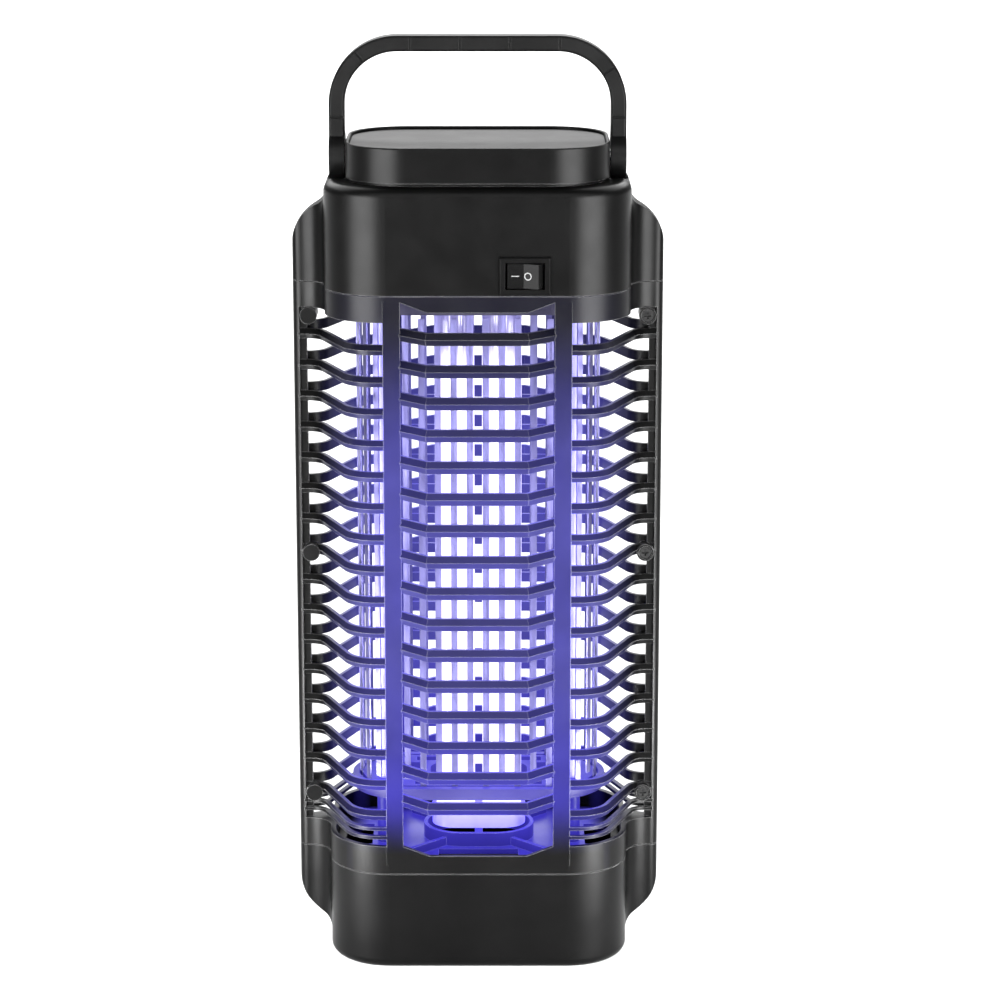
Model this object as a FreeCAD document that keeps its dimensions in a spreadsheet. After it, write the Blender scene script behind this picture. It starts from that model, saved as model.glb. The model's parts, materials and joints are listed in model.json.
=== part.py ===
import FreeCAD, Part
import math
import os
import Sketcher

# Electric bug zapper: a black lantern-shaped housing with a louvred cage, a twin
# ultraviolet lamp inside an electrified grid, a fold-down bail handle and a
# catch tray that pulls off the bottom.
# Frame: millimetres, origin at the centre of the footprint, Z up, X to the
# right seen from the front, the front facing -Y.

V = FreeCAD.Vector
AXES = {"X": V(1, 0, 0), "Y": V(0, 1, 0), "Z": V(0, 0, 1)}

# alias, value, meaning
SIZES = [
    # plan outline shared by tray, cage and housing
    ("ear_half", 77.0, "half width across the two side ears"),
    ("ear_tip", 3.6, "tip radius and half thickness of an ear"),
    ("body_half", 63.0, "half width of the body between the ears"),
    ("deep_half", 42.0, "half depth of the body"),
    ("corner", 26.0, "vertical corner radius of the body"),
    ("blend_gap", 14.0, "distance of the ear blend from the middle plane"),
    ("wall", 2.2, "moulding wall thickness"),
    # levels
    ("tray_top", 42.0, "top edge of the catch tray"),
    ("cage_bottom", 42.3, "bottom edge of the cage"),
    ("cage_top", 287.9, "top edge of the cage"),
    ("housing_bottom", 288.2, "bottom edge of the housing"),
    ("housing_top", 332.0, "shoulder of the housing"),
    ("cap_top", 347.5, "rim of the cap"),
    # ear ends seen from the front
    ("ear_round", 19.0, "radius of the rounded ear end"),
    ("ear_blend", 6.33, "radius blending the ear end into the body"),
    ("ear_mid_x", 66.5, "x where ear rounding meets its blend"),
    ("tray_ear_z", 29.0, "level where the lower ear end starts"),
    ("tray_mid_z", 12.0, "level of the lower rounding to blend joint"),
    ("tray_blend_z", 6.34, "level where the lower ear has vanished"),
    ("top_ear_z", 303.5, "level where the upper ear end starts"),
    ("top_mid_z", 320.5, "level of the upper rounding to blend joint"),
    ("top_blend_z", 326.16, "level where the upper ear has vanished"),
    ("skim", 0.05, "small outward shift that keeps cuts clear of tangents"),
    # general allowances
    ("over", 1.0, "how far a cut runs past the surface it opens"),
    ("root", 0.3, "how far a boss or post is sunk into what carries it"),
    ("blind", 1.0, "material or space left at the end of a blind hole"),
    ("slip", 0.1, "clearance of small parts in their seats"),
    # catch tray
    ("tray_wall", 2.4, "tray wall thickness"),
    ("tray_floor", 2.6, "tray floor thickness"),
    ("tray_edge", 4.0, "rounding of the bottom edge"),
    # cage
    ("window_low", 54.3, "lower edge of the side windows"),
    ("window_high", 277.2, "upper edge of the side windows"),
    ("middle_low", 50.1, "lower edge of the middle window"),
    ("middle_high", 281.4, "upper edge of the middle window"),
    ("middle_rise", 4.2, "how far the middle window edges rise at the posts"),
    ("middle_flat", 20.4, "half width of the straight part of the bow"),
    ("post_in", 31.4, "inner side of a cage post"),
    ("post_out", 38.4, "outer side of a cage post"),
    ("post_deep", 3.2, "thickness of a cage post"),
    ("post_low", 46.0, "lower end of a cage post"),
    ("post_high", 285.9, "upper end of a cage post"),
    ("rail_in", 71.3, "inner side of the ear flange"),
    ("rail_step", 74.4, "where the flange meets the outer strip"),
    ("flange", 1.8, "thickness of the ear flange"),
    ("pitch", 13.2, "spacing of the slats"),
    ("slat_count", 16, "slats in each row"),
    ("slat_tall", 4.2, "height of a side slat"),
    ("slat_ridge", 2.0, "height of the ridge on a side slat"),
    ("middle_tall", 5.1, "height of a middle slat"),
    ("middle_ridge", 2.5, "height of the ridge on a middle slat"),
    ("slat_deep", 2.8, "depth of a slat at its ridge"),
    ("slat_under", 1.0, "set back of the lower slat edge"),
    ("slat_over", 1.4, "set back of the upper slat edge"),
    ("slat_bend_x", 41.6, "where a side slat starts to turn back"),
    ("slat_corner", 15.4, "outer radius of a side slat's turn"),
    ("slat_turn", 68.7, "how far a side slat turns back, in degrees"),
    ("slat_flare", 6.6, "radius of a side slat's flare into the ear"),
    ("side_in", 33.0, "inner end of a side slat, within its post"),
    ("side_root", 0.6, "how far a side slat runs into the ear"),
    ("middle_root", 1.2, "how far a middle slat runs into its post"),
    ("rear_side_in", 18.0, "inner end of a rear side slat, behind the middle slats"),
    ("rear_side_lift", 3.0, "how much higher the rear side slats sit"),
    ("rear_middle_drop", 1.9, "how much lower the rear middle slats sit"),
    ("middle_slat_z", 71.7, "underside of the lowest middle slat"),
    ("bay_slat_z", 65.8, "underside of the lowest side slat"),
    ("bow", 11.0, "how far the middle slats bow forward"),
    ("bar_tall", 1.4, "height of a thin bar"),
    ("bar_deep", 2.0, "depth of a thin bar"),
    ("bar_low_z", 57.6, "underside of the lower thin bar"),
    ("bar_high_z", 61.4, "underside of the upper thin bar"),
    ("boss_x", 70.5, "distance of the cage screws from the middle"),
    ("boss_radius", 3.6, "radius of a cage screw boss"),
    ("boss_tall", 5.6, "height of a cage screw boss"),
    ("boss_low_z", 66.1, "level of the lower cage screw"),
    ("boss_mid_z", 172.4, "level of the middle cage screw"),
    ("boss_high_z", 273.8, "level of the upper cage screw"),
    # screws
    ("screw_hole", 1.7, "clearance hole radius"),
    ("screw_pilot", 1.35, "pilot hole radius"),
    ("screw_shank", 1.3, "screw shank radius"),
    ("screw_head", 2.5, "screw head radius"),
    ("screw_head_tall", 1.7, "screw head height"),
    ("screw_head_play", 0.2, "clearance round a sunk screw head"),
    ("screw_slot", 0.7, "width of the cross recess"),
    ("screw_slot_reach", 1.4, "reach of the cross recess"),
    ("screw_slot_deep", 0.9, "depth of the cross recess"),
    # housing
    ("shoulder", 4.2, "rounding of the housing shoulder"),
    ("cavity_low_top", 325.0, "ceiling of the wide cavity"),
    ("cavity_top", 329.8, "ceiling of the narrow cavity"),
    ("cavity_half", 50.5, "half width of the narrow cavity"),
    ("cavity_deep", 37.4, "half depth of the narrow cavity"),
    ("well_in", 53.6, "inner side of the handle well"),
    ("well_half", 11.2, "half length of the handle well"),
    ("well_floor", 329.0, "floor of the handle well"),
    # cap
    ("cap_half", 54.0, "half width of the cap"),
    ("cap_deep", 38.6, "half depth of the cap"),
    ("cap_corner", 25.0, "corner radius of the cap"),
    ("cap_foot", 1.2, "height and inset of the shadow groove"),
    ("cap_wall", 2.0, "cap wall thickness"),
    ("cap_rim", 1.5, "width of the rim"),
    ("cap_edge", 0.6, "rounding of the rim"),
    ("cap_recess", 2.3, "depth of the recessed top"),
    ("cap_roof", 343.0, "underside of the cap roof"),
    ("inlay_thick", 0.9, "thickness of the top inlay"),
    ("inlay_gap", 0.15, "clearance round the inlay"),
    ("cap_screw_x", 30.0, "cap screw position"),
    ("cap_screw_y", 24.0, "cap screw position"),
    ("cap_boss", 3.4, "cap boss radius"),
    ("cap_thread", 7.0, "length of screw inside the cap"),
    # handle
    ("handle_half", 61.0, "half width over the handle"),
    ("handle_thick", 6.4, "thickness of the handle strap"),
    ("handle_wide", 11.0, "width of the handle strap"),
    ("handle_top", 389.3, "top of the handle"),
    ("handle_corner", 28.0, "outer corner radius of the handle"),
    ("handle_bevel", 0.8, "bevel along the handle edges"),
    ("pivot_z", 340.0, "height of the handle pivot"),
    ("hub_radius", 10.0, "radius of the handle foot"),
    ("pin_radius", 2.5, "radius of a handle pin"),
    ("pin_hole", 2.56, "radius of the hole in the handle foot"),
    ("pin_in", 47.0, "inner end of a handle pin"),
    ("pin_out", 60.0, "outer end of a handle pin"),
    ("pin_hole_out", 60.2, "outer end of the hole in the handle foot"),
    ("groove_wide", 0.9, "width of a grip groove"),
    ("groove_deep", 0.5, "depth of a grip groove"),
    ("groove_step", 20.4, "spacing of grip grooves on the top bar"),
    ("groove_shift", 3.0, "sideways shift of the top bar grooves"),
    ("groove_arm_z", 356.2, "level of the arm grooves"),
    ("groove_left", 128.0, "angle of the left corner groove"),
    ("groove_right", 34.0, "angle of the right corner groove"),
    # switch
    ("switch_x", 19.25, "centre of the switch"),
    ("switch_z", 296.5, "level of the switch"),
    ("bezel_half", 10.5, "half length of the bezel"),
    ("bezel_tall", 7.7, "half height of the bezel"),
    ("bezel_thick", 1.4, "thickness of the bezel"),
    ("bezel_bevel", 0.55, "bevel round the bezel"),
    ("switch_half", 9.5, "half length of the switch body"),
    ("switch_tall", 6.3, "half height of the switch body"),
    ("switch_deep", 20.0, "depth of the switch body"),
    ("switch_play", 0.1, "clearance of the switch body in the wall"),
    ("rocker_well", 8.0, "half length of the rocker opening"),
    ("rocker_well_tall", 5.4, "half height of the rocker opening"),
    ("rocker_well_deep", 10.5, "depth of the rocker opening"),
    ("rocker_radius", 7.65, "radius of the rocker ends"),
    ("rocker_tall", 5.05, "half height of the rocker"),
    ("rocker_pivot", 39.6, "distance of the rocker pivot from the middle"),
    ("rocker_front", 3.0, "crease in front of the pivot"),
    ("rocker_back", 2.4, "back of the rocker behind the pivot"),
    ("rocker_tip_x", 6.37, "end of a rocker facet"),
    ("rocker_tip_y", 4.24, "end of a rocker facet"),
    ("rocker_tilt", 11.0, "tilt of the rocker at rest"),
    ("rocker_pin", 1.2, "radius of the rocker stub"),
    ("rocker_pin_hole", 1.25, "radius of the hole for the stub"),
    ("rocker_pin_half", 5.9, "half length of the rocker stub"),
    ("mark_thick", 0.12, "thickness of the printed marks"),
    ("mark_line", 0.42, "stroke of the printed marks"),
    ("mark_ring", 1.6, "outer radius of the off mark"),
    ("mark_bar", 1.6, "half length of the on mark"),
    ("mark_on_x", 15.3, "centre of the on mark"),
    ("mark_off", 1.9, "distance of the off mark from the crease"),
    ("tab_half", 2.4, "half height of a switch tab"),
    ("tab_thick", 0.4, "half thickness of a switch tab"),
    ("tab_long", 4.0, "length of a switch tab"),
    ("tab_gap", 3.6, "distance of a tab from the switch centre"),
    ("lead_radius", 1.1, "radius of an insulated lead"),
    ("lead_bend", 3.0, "bend radius of a lead"),
    ("lead_y", 14.6, "distance of the rising leads from the middle"),
    # cable inlet
    ("inlet_x", 25.0, "distance of the cable inlet from the middle"),
    ("inlet_z", 300.0, "level of the cable inlet"),
    ("inlet_bore", 3.2, "bore radius of the grommet"),
    ("inlet_body", 5.4, "radius of the grommet body"),
    ("inlet_hole", 5.45, "radius of the wall hole"),
    ("inlet_flange", 7.2, "radius of the grommet flanges"),
    ("inlet_flange_thick", 1.6, "thickness of a grommet flange"),
    ("inlet_round", 0.8, "rounding of the outer grommet flange"),
    # inner structure
    ("chassis_low", 286.0, "underside of the chassis plate"),
    ("chassis_top", 288.4, "top of the chassis plate"),
    ("inner_gap", 0.5, "clearance of plates to the walls"),
    ("chassis_screw_x", 46.0, "chassis screw position"),
    ("chassis_screw_y", 26.0, "chassis screw position"),
    ("chassis_boss", 3.6, "chassis boss radius"),
    ("chassis_pilot", 10.0, "depth of the chassis pilot holes"),
    ("lamp_hole_half", 20.8, "half length of the lamp opening"),
    ("lamp_hole_wide", 11.7, "half width of the lamp opening"),
    ("plate_straight", 28.0, "half straight length of a grid plate"),
    ("plate_round", 26.0, "end radius of a grid plate"),
    ("upper_plate_low", 277.6, "underside of the upper grid plate"),
    ("fall_side_in", 24.0, "inner side of the side openings in the grid plate"),
    ("fall_side_out", 34.5, "outer side of the side openings in the grid plate"),
    ("fall_side_half", 11.0, "half length of the side openings in the grid plate"),
    ("fall_front_half", 27.0, "half length of the front openings in the grid plate"),
    ("fall_front_in", 13.8, "inner side of the front openings in the grid plate"),
    ("fall_front_out", 19.0, "outer side of the front openings in the grid plate"),
    ("lower_plate_low", 69.5, "underside of the lower grid plate"),
    ("lower_plate_top", 74.5, "top of the lower grid plate"),
    ("groove_half", 0.8, "half width of the groove for the comb"),
    ("upper_groove", 4.5, "depth of the upper plate groove"),
    ("lower_groove", 4.0, "depth of the lower plate groove"),
    ("grid_straight", 28.5, "half straight length of the grid"),
    ("grid_round", 22.0, "end radius of the grid"),
    ("grid_thick", 0.8, "thickness of a grid strip"),
    ("grid_wide", 2.6, "width of a grid strip"),
    ("grid_count", 38, "strips round the grid"),
    ("comb_ring", 2.2, "height of a comb ring"),
    ("upper_comb_top", 281.9, "top of the upper comb"),
    ("upper_comb_low", 77.6, "free ends of the upper comb"),
    ("lower_comb_low", 70.6, "bottom of the lower comb"),
    ("lower_comb_top", 275.4, "free ends of the lower comb"),
    ("pillar_x", 40.0, "pillar position"),
    ("pillar_y", 8.0, "pillar position"),
    ("pillar_radius", 2.7, "pillar radius"),
    ("pillar_pilot", 12.0, "depth of the pilot holes in a pillar"),
    ("pillar_thread", 8.0, "length of screw inside a pillar"),
    # lamp
    ("leg_x", 9.9, "distance of a lamp leg from the middle"),
    ("leg_radius", 8.3, "lamp leg radius"),
    ("glass_wall", 1.0, "glass thickness of the lamp"),
    ("leg_low", 55.0, "lower end of the lamp legs"),
    ("leg_dome", 6.0, "rounding of the lamp leg ends"),
    ("lamp_base_low", 284.0, "underside of the lamp base"),
    ("lamp_base_top", 297.0, "top of the lamp base"),
    ("lamp_base_half", 20.0, "half length of the lamp base"),
    ("lamp_base_wide", 11.0, "half width of the lamp base"),
    ("lamp_base_corner", 8.0, "corner radius of the lamp base"),
    ("bridge_z", 81.0, "level of the bridge between the legs"),
    ("bridge_radius", 3.4, "radius of the bridge"),
    ("lamp_pin_step", 8.0, "spacing of the lamp pins"),
    ("lamp_pin_radius", 1.1, "lamp pin radius"),
    ("lamp_pin_hole", 1.2, "radius of the socket holes"),
    ("lamp_pin_tall", 5.5, "height of the lamp pins"),
    ("socket_half", 22.0, "half length of the socket"),
    ("socket_wide", 11.5, "half width of the socket"),
    ("socket_tall", 11.0, "height of the socket"),
    ("socket_wing", 31.0, "half length over the socket wings"),
    ("socket_wing_wide", 5.0, "half width of a socket wing"),
    ("socket_wing_thick", 3.0, "thickness of a socket wing"),
    ("socket_corner", 1.5, "corner radius of the socket"),
    ("socket_pilot", 7.0, "depth of the pilot holes in the socket posts"),
    ("socket_post_x", 26.8, "position of the socket posts"),
    ("post_radius", 3.4, "radius of posts on the chassis"),
    ("clip_half", 20.0, "half length of the lamp clip"),
    ("clip_wide", 9.6, "half width of the lamp clip"),
    ("clip_low", 51.6, "underside of the lamp clip"),
    ("clip_top", 60.0, "top of the lamp clip"),
    ("clip_play", 0.1, "clearance of the lamp legs in the clip"),
    ("clip_open", 5.6, "radius of the openings under the lamp ends"),
    # lower frame
    ("frame_low", 43.4, "underside of the lower frame"),
    ("frame_top", 45.6, "top of the lower frame"),
    ("skirt_low", 36.0, "lower edge of the locating skirt"),
    ("skirt_gap", 0.5, "clearance of the skirt in the tray"),
    ("skirt_wall", 1.6, "skirt thickness"),
    ("mouth_straight", 7.0, "half straight length of the mouth"),
    ("mouth_round", 15.0, "end radius of the mouth"),
    ("mouth_rim", 1.6, "thickness of the mouth rim"),
    ("mouth_top", 51.6, "top of the mouth rim"),
    ("chute_side_in", 45.5, "inner side of the side chutes"),
    ("chute_side_out", 57.0, "outer side of the side chutes"),
    ("chute_side_half", 13.0, "half length of the side chutes"),
    ("chute_front_half", 17.0, "half length of the front chutes"),
    ("chute_front_in", 19.5, "inner side of the front chutes"),
    ("chute_front_out", 36.0, "outer side of the front chutes"),
    ("rib_half", 1.6, "half width of the bridge over the mouth"),
    ("brace_half", 0.9, "half width of a brace"),
    ("brace_top", 49.2, "top of the braces"),
    ("brace_in", 19.5, "inner end of a brace, diagonal distance"),
    ("brace_out", 41.0, "outer end of a brace, diagonal distance"),
    # electronics
    ("board_low", 314.0, "underside of the driver board"),
    ("board_thick", 1.6, "driver board thickness"),
    ("board_half", 38.0, "half length of the board"),
    ("board_wide", 24.0, "half width of the board"),
    ("board_screw_x", 34.0, "board screw position"),
    ("board_screw_y", 20.0, "board screw position"),
    ("board_pilot", 9.0, "depth of the pilot holes in the board posts"),
    ("hv_x", 16.6, "position of the high voltage leads"),
    ("hv_y", 22.0, "position of the high voltage leads"),
    ("hv_low", 283.0, "lower end of the high voltage leads"),
    ("hv_clear", 0.4, "clearance round the high voltage leads"),
    ("core_x", 20.0, "transformer position"),
    ("core_half", 10.0, "half length of the transformer core"),
    ("core_wide", 4.0, "half width of the transformer core"),
    ("core_tall", 12.0, "height of the transformer core"),
    ("core_yoke", 2.6, "thickness of the transformer yokes"),
    ("winding_wide", 8.0, "half width of the winding"),
    ("winding_gap", 0.1, "clearance of the winding in the core"),
    ("film_half", 5.5, "half length of a film capacitor"),
    ("film_wide", 2.4, "half width of a film capacitor"),
    ("film_tall", 9.0, "height of a film capacitor"),
    ("film_x", 4.0, "position of the film capacitors"),
    ("film_step", 7.5, "spacing of the film capacitors"),
    ("diode_radius", 1.3, "diode radius"),
    ("diode_long", 7.0, "diode length"),
    ("diode_x", 15.0, "start of the diodes"),
    ("diode_step", 6.0, "spacing of the diodes"),
    ("fuse_radius", 2.6, "fuse radius"),
    ("fuse_half", 10.0, "half length of the fuse"),
    ("fuse_end", 5.0, "length of a fuse end cap"),
    ("fuse_step", 0.2, "thickness of a fuse end cap"),
    ("fuse_y", 19.0, "position of the fuse"),
    ("coil_x", 48.5, "position of the lamp choke"),
    ("coil_radius", 7.5, "radius of the lamp choke"),
    ("coil_flange", 8.6, "radius of the choke flanges"),
    ("coil_flange_thick", 1.4, "thickness of the choke flanges"),
    ("coil_tall", 17.0, "height of the lamp choke"),
    ("elko_radius", 5.0, "radius of the smoothing capacitor"),
    ("elko_tall", 20.0, "height of the smoothing capacitor"),
    ("elko_round", 0.8, "rounding of the can top"),
    ("block_half", 7.0, "half length of the terminal block"),
    ("block_front", 24.0, "front of the terminal block"),
    ("block_back", 33.0, "back of the terminal block"),
    ("block_top", 305.0, "top of the terminal block"),
    ("clamp_deep", 3.0, "depth of the clamp screw holes"),
    ("mains_gap", 1.4, "distance of a mains lead from the inlet centre"),
    ("mains_end", 36.0, "outer end of the mains leads"),
    ("mains_in", 4.0, "length of mains lead inside the block"),
]


class Dim:
    """A size kept both as a number and as the expression that gives it."""

    def __init__(self, value, text):
        self.value = float(value)
        self.text = text

    def __add__(self, other):
        other = dim(other)
        return Dim(self.value + other.value, "(%s + %s)" % (self.text, other.text))

    def __sub__(self, other):
        other = dim(other)
        return Dim(self.value - other.value, "(%s - %s)" % (self.text, other.text))

    def __mul__(self, other):
        other = dim(other)
        return Dim(self.value * other.value, "(%s * %s)" % (self.text, other.text))

    def __truediv__(self, other):
        other = dim(other)
        return Dim(self.value / other.value, "(%s / %s)" % (self.text, other.text))

    def __neg__(self):
        return Dim(-self.value, "(0 - %s)" % self.text)

    def __radd__(self, other):
        return dim(other) + self

    def __rmul__(self, other):
        return dim(other) * self


def dim(value):
    return value if isinstance(value, Dim) else Dim(value, repr(float(value)))


def polar(radius, angle):
    """Point at a radius and an angle in degrees."""
    turn = math.radians(angle.value)
    x = Dim(radius.value * math.cos(turn), "(%s * cos(%s))" % (radius.text, angle.text))
    y = Dim(radius.value * math.sin(turn), "(%s * sin(%s))" % (radius.text, angle.text))
    return x, y


doc = FreeCAD.newDocument("bug_zapper")
sheet = doc.addObject("Spreadsheet::Sheet", "Sizes")


class Sizes:
    """Every size of the sheet as an attribute."""


d = Sizes()
for row, (alias, value, meaning) in enumerate(SIZES, start=1):
    sheet.set("A%d" % row, alias)
    sheet.set("B%d" % row, str(value))
    sheet.set("C%d" % row, meaning)
    sheet.setAlias("B%d" % row, alias)
    setattr(d, alias, Dim(value, "Sizes." + alias))
doc.recompute()

ZERO = dim(0)
MIDDLE = (ZERO, ZERO)
nodes = []


# ---------------------------------------------------------------- sketching

def new_body(label, separate=False):
    body = doc.addObject("PartDesign::Body", label)
    body.Label = label
    if separate:
        body.AllowCompound = True
    nodes.append(body)
    return body


def sketch(body, name, plane, offset, turn=None, shift=None):
    """Sketch on a plane of the body, moved along the plane's normal."""
    drawing = body.newObject("Sketcher::SketchObject", name)
    roles = {"XY": "XY_Plane", "XZ": "XZ_Plane", "YZ": "YZ_Plane"}
    for feature in body.Origin.OriginFeatures:
        if feature.Role == roles[plane]:
            drawing.AttachmentSupport = [(feature, "")]
    drawing.MapMode = "FlatFace"
    if turn is not None:
        rotation = FreeCAD.Rotation(AXES["Y"], turn)
        drawing.AttachmentOffset = FreeCAD.Placement(V(), rotation)
    if shift is not None:
        drawing.setExpression("AttachmentOffset.Base.x", shift[0].text)
        drawing.setExpression("AttachmentOffset.Base.y", shift[1].text)
    drawing.setExpression("AttachmentOffset.Base.z", dim(offset).text)
    return drawing


def pin_point(drawing, geometry, end, x, y):
    """Fix a point of the drawing at x, y with constraints bound to the sheet."""
    for kind, axis, place in (("DistanceX", -2, x), ("DistanceY", -1, y)):
        if abs(place.value) < 1e-9:
            drawing.addConstraint(Sketcher.Constraint("PointOnObject", geometry, end, axis))
        elif place.value > 0:
            index = drawing.addConstraint(
                Sketcher.Constraint(kind, -1, 1, geometry, end, place.value))
            drawing.setExpression("Constraints[%d]" % index, place.text)
        else:
            index = drawing.addConstraint(
                Sketcher.Constraint(kind, geometry, end, -1, 1, -place.value))
            drawing.setExpression("Constraints[%d]" % index, (-place).text)


def set_radius(drawing, geometry, radius):
    index = drawing.addConstraint(Sketcher.Constraint("Radius", geometry, radius.value))
    drawing.setExpression("Constraints[%d]" % index, radius.text)


def add_arc(drawing, first, last, radius, bend):
    """Arc between two points; bend +1 turns left on the way, -1 turns right."""
    chord = last - first
    half = chord.Length / 2
    rise = math.sqrt(max(radius.value ** 2 - half ** 2, 0.0))
    side = V(-chord.y, chord.x, 0).normalize()
    centre = (first + last) / 2 + side * rise * bend
    start, stop = (first, last) if bend > 0 else (last, first)
    begin = math.atan2(start.y - centre.y, start.x - centre.x)
    finish = math.atan2(stop.y - centre.y, stop.x - centre.x)
    circle = Part.Circle(centre, AXES["Z"], radius.value)
    return drawing.addGeometry(Part.ArcOfCircle(circle, begin, finish))


def draw(drawing, path, closed=True):
    """Draw points (x, y) or (x, y, radius, bend); the last two shape the next leg."""
    points = [(dim(p[0]), dim(p[1])) for p in path]
    count = len(points)
    legs = count if closed else count - 1
    starts = []
    ends = []
    for i in range(legs):
        first = V(points[i][0].value, points[i][1].value, 0)
        other = (i + 1) % count
        last = V(points[other][0].value, points[other][1].value, 0)
        if len(path[i]) == 4:
            radius, bend = dim(path[i][2]), path[i][3]
            geometry = add_arc(drawing, first, last, radius, bend)
            starts.append((geometry, 1 if bend > 0 else 2))
            ends.append((geometry, 2 if bend > 0 else 1))
            set_radius(drawing, geometry, radius)
        else:
            geometry = drawing.addGeometry(Part.LineSegment(first, last))
            starts.append((geometry, 1))
            ends.append((geometry, 2))
    for i in range(legs):
        pin_point(drawing, starts[i][0], starts[i][1], *points[i])
        if i + 1 < legs or closed:
            after = starts[(i + 1) % legs]
            join = Sketcher.Constraint("Coincident", ends[i][0], ends[i][1], after[0], after[1])
            drawing.addConstraint(join)
    if not closed:
        pin_point(drawing, ends[-1][0], ends[-1][1], *points[-1])


def draw_box(drawing, x0, x1, y0, y1):
    draw(drawing, [(x0, y0), (x1, y0), (x1, y1), (x0, y1)])


def draw_circle(drawing, x, y, radius):
    x, y, radius = dim(x), dim(y), dim(radius)
    circle = Part.Circle(V(x.value, y.value, 0), AXES["Z"], radius.value)
    geometry = drawing.addGeometry(circle)
    pin_point(drawing, geometry, 3, x, y)
    set_radius(drawing, geometry, radius)


def draw_round_box(drawing, half_x, half_y, radius):
    """Rectangle with rounded corners round the origin."""
    x, y = half_x - radius, half_y - radius
    draw(drawing, [
        (-x, -half_y), (x, -half_y, radius, 1), (half_x, -y), (half_x, y, radius, 1),
        (x, half_y), (-x, half_y, radius, 1), (-half_x, y), (-half_x, -y, radius, 1)])


def draw_stadium(drawing, straight, radius):
    """Two straight sides joined by half circles."""
    draw(drawing, [
        (-straight, -radius), (straight, -radius, radius, 1), (straight + radius, ZERO, radius, 1),
        (straight, radius), (-straight, radius, radius, 1), (-straight - radius, ZERO, radius, 1)])


def draw_cross(drawing, x, y, reach, width):
    """Cross shaped recess of a screw."""
    x, y = dim(x), dim(y)
    w = width / 2
    steps = [(reach, -w), (reach, w), (w, w), (w, reach), (-w, reach), (-w, w),
             (-reach, w), (-reach, -w), (-w, -w), (-w, -reach), (w, -reach), (w, -w)]
    draw(drawing, [(x + a, y + b) for a, b in steps])


# ----------------------------------------------------------------- features

def finish(body, feature):
    body.Tip = feature
    doc.recompute()
    return feature


def pad(body, profile, length, back=False):
    feature = body.newObject("PartDesign::Pad", profile.Name + "Pad")
    feature.Profile = profile
    feature.Reversed = back
    feature.setExpression("Length", dim(length).text)
    return finish(body, feature)


def cut(body, profile, length, back=False):
    """Pocket against the sketch normal, or along it when back is set."""
    before = body.Tip.Shape.Volume
    feature = body.newObject("PartDesign::Pocket", profile.Name + "Cut")
    feature.Profile = profile
    feature.Reversed = back
    feature.setExpression("Length", dim(length).text)
    finish(body, feature)
    if feature.Shape.Volume > before - 0.01:
        raise RuntimeError(body.Label + ": " + profile.Name + " cuts nothing")
    return feature


def round_edges(body, radius, chosen, kind="Fillet"):
    """Round or bevel the edges of the tip for which chosen(edge) holds."""
    tip = body.Tip
    names = ["Edge%d" % (i + 1) for i, edge in enumerate(tip.Shape.Edges) if chosen(edge)]
    feature = body.newObject("PartDesign::" + kind, body.Label.title().replace("_", "") + kind)
    feature.Base = (tip, names)
    feature.setExpression("Radius" if kind == "Fillet" else "Size", dim(radius).text)
    return finish(body, feature)


def at_level(level):
    """Edges lying flat at one height."""
    def chosen(edge):
        box = edge.BoundBox
        return abs(box.ZMin - level.value) < 1e-3 and abs(box.ZMax - level.value) < 1e-3
    return chosen


def circles(body, name, plane, offset, centres, radius, length, back=False, hollow=False):
    """Pad or pocket several equal circles at once."""
    drawing = sketch(body, name, plane, offset)
    for x, y in centres:
        draw_circle(drawing, x, y, radius)
    return (cut if hollow else pad)(body, drawing, length, back)


def box(body, name, x0, x1, y0, y1, z0, z1):
    """Upright block between the given limits."""
    drawing = sketch(body, name, "XY", z0)
    draw_box(drawing, x0, x1, y0, y1)
    return pad(body, drawing, dim(z1) - z0)


def four(x, y):
    return [(x, y), (-x, y), (-x, -y), (x, -y)]


def make_screws(label, plane, seat, centres, length, heads_back=False):
    """Group of equal pan head screws; heads stand on the seat along the normal."""
    body = new_body(label, separate=True)
    circles(body, "Heads", plane, seat, centres, d.screw_head, d.screw_head_tall, heads_back)
    circles(body, "Shanks", plane, seat, centres, d.screw_shank, length, not heads_back)
    top = seat - d.screw_head_tall if heads_back else seat + d.screw_head_tall
    slots = sketch(body, "Slots", plane, top)
    for x, y in centres:
        draw_cross(slots, x, y, d.screw_slot_reach, d.screw_slot)
    cut(body, slots, d.screw_slot_deep, heads_back)
    return body


# ------------------------------------------------------------- plan outline

def draw_plan(drawing):
    """Full outline: rounded body with a thin ear blended in on each side."""
    flat = d.body_half - d.corner
    side = d.deep_half - d.corner
    blend = d.ear_half - d.ear_tip - d.body_half
    lobe = d.ear_half - d.ear_tip
    front = [
        (flat, -d.deep_half, d.corner, 1), (d.body_half, -side),
        (d.body_half, -d.blend_gap, blend, -1), (lobe, -d.ear_tip, d.ear_tip, 1),
        (d.ear_half, ZERO, d.ear_tip, 1), (lobe, d.ear_tip, blend, -1),
        (d.body_half, d.blend_gap), (d.body_half, side, d.corner, 1),
        (flat, d.deep_half)]
    rear = [(-p[0], -p[1]) + tuple(p[2:]) for p in front]
    draw(drawing, front + rear)


def draw_cavity(drawing, wall):
    draw_round_box(drawing, d.body_half - wall, d.deep_half - wall, d.corner - wall)


def trim_ears(body, start, middle, end, limit):
    """Round off the ears between two levels, seen from the front."""
    reach = d.deep_half + d.over
    drawing = sketch(body, "EarTrim", "XZ", reach)
    out = d.ear_half + d.over
    upward = 1 if limit.value > start.value else -1
    for side in (1, -1):
        draw(drawing, [
            ((d.ear_half + d.skim) * side, start, d.ear_round, upward * side),
            (d.ear_mid_x * side, middle, d.ear_blend, -upward * side),
            (d.body_half * side, end), (d.body_half * side, limit),
            (out * side, limit), (out * side, start)])
    cut(body, drawing, reach * 2)


# ------------------------------------------------------------------ housing

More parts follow.
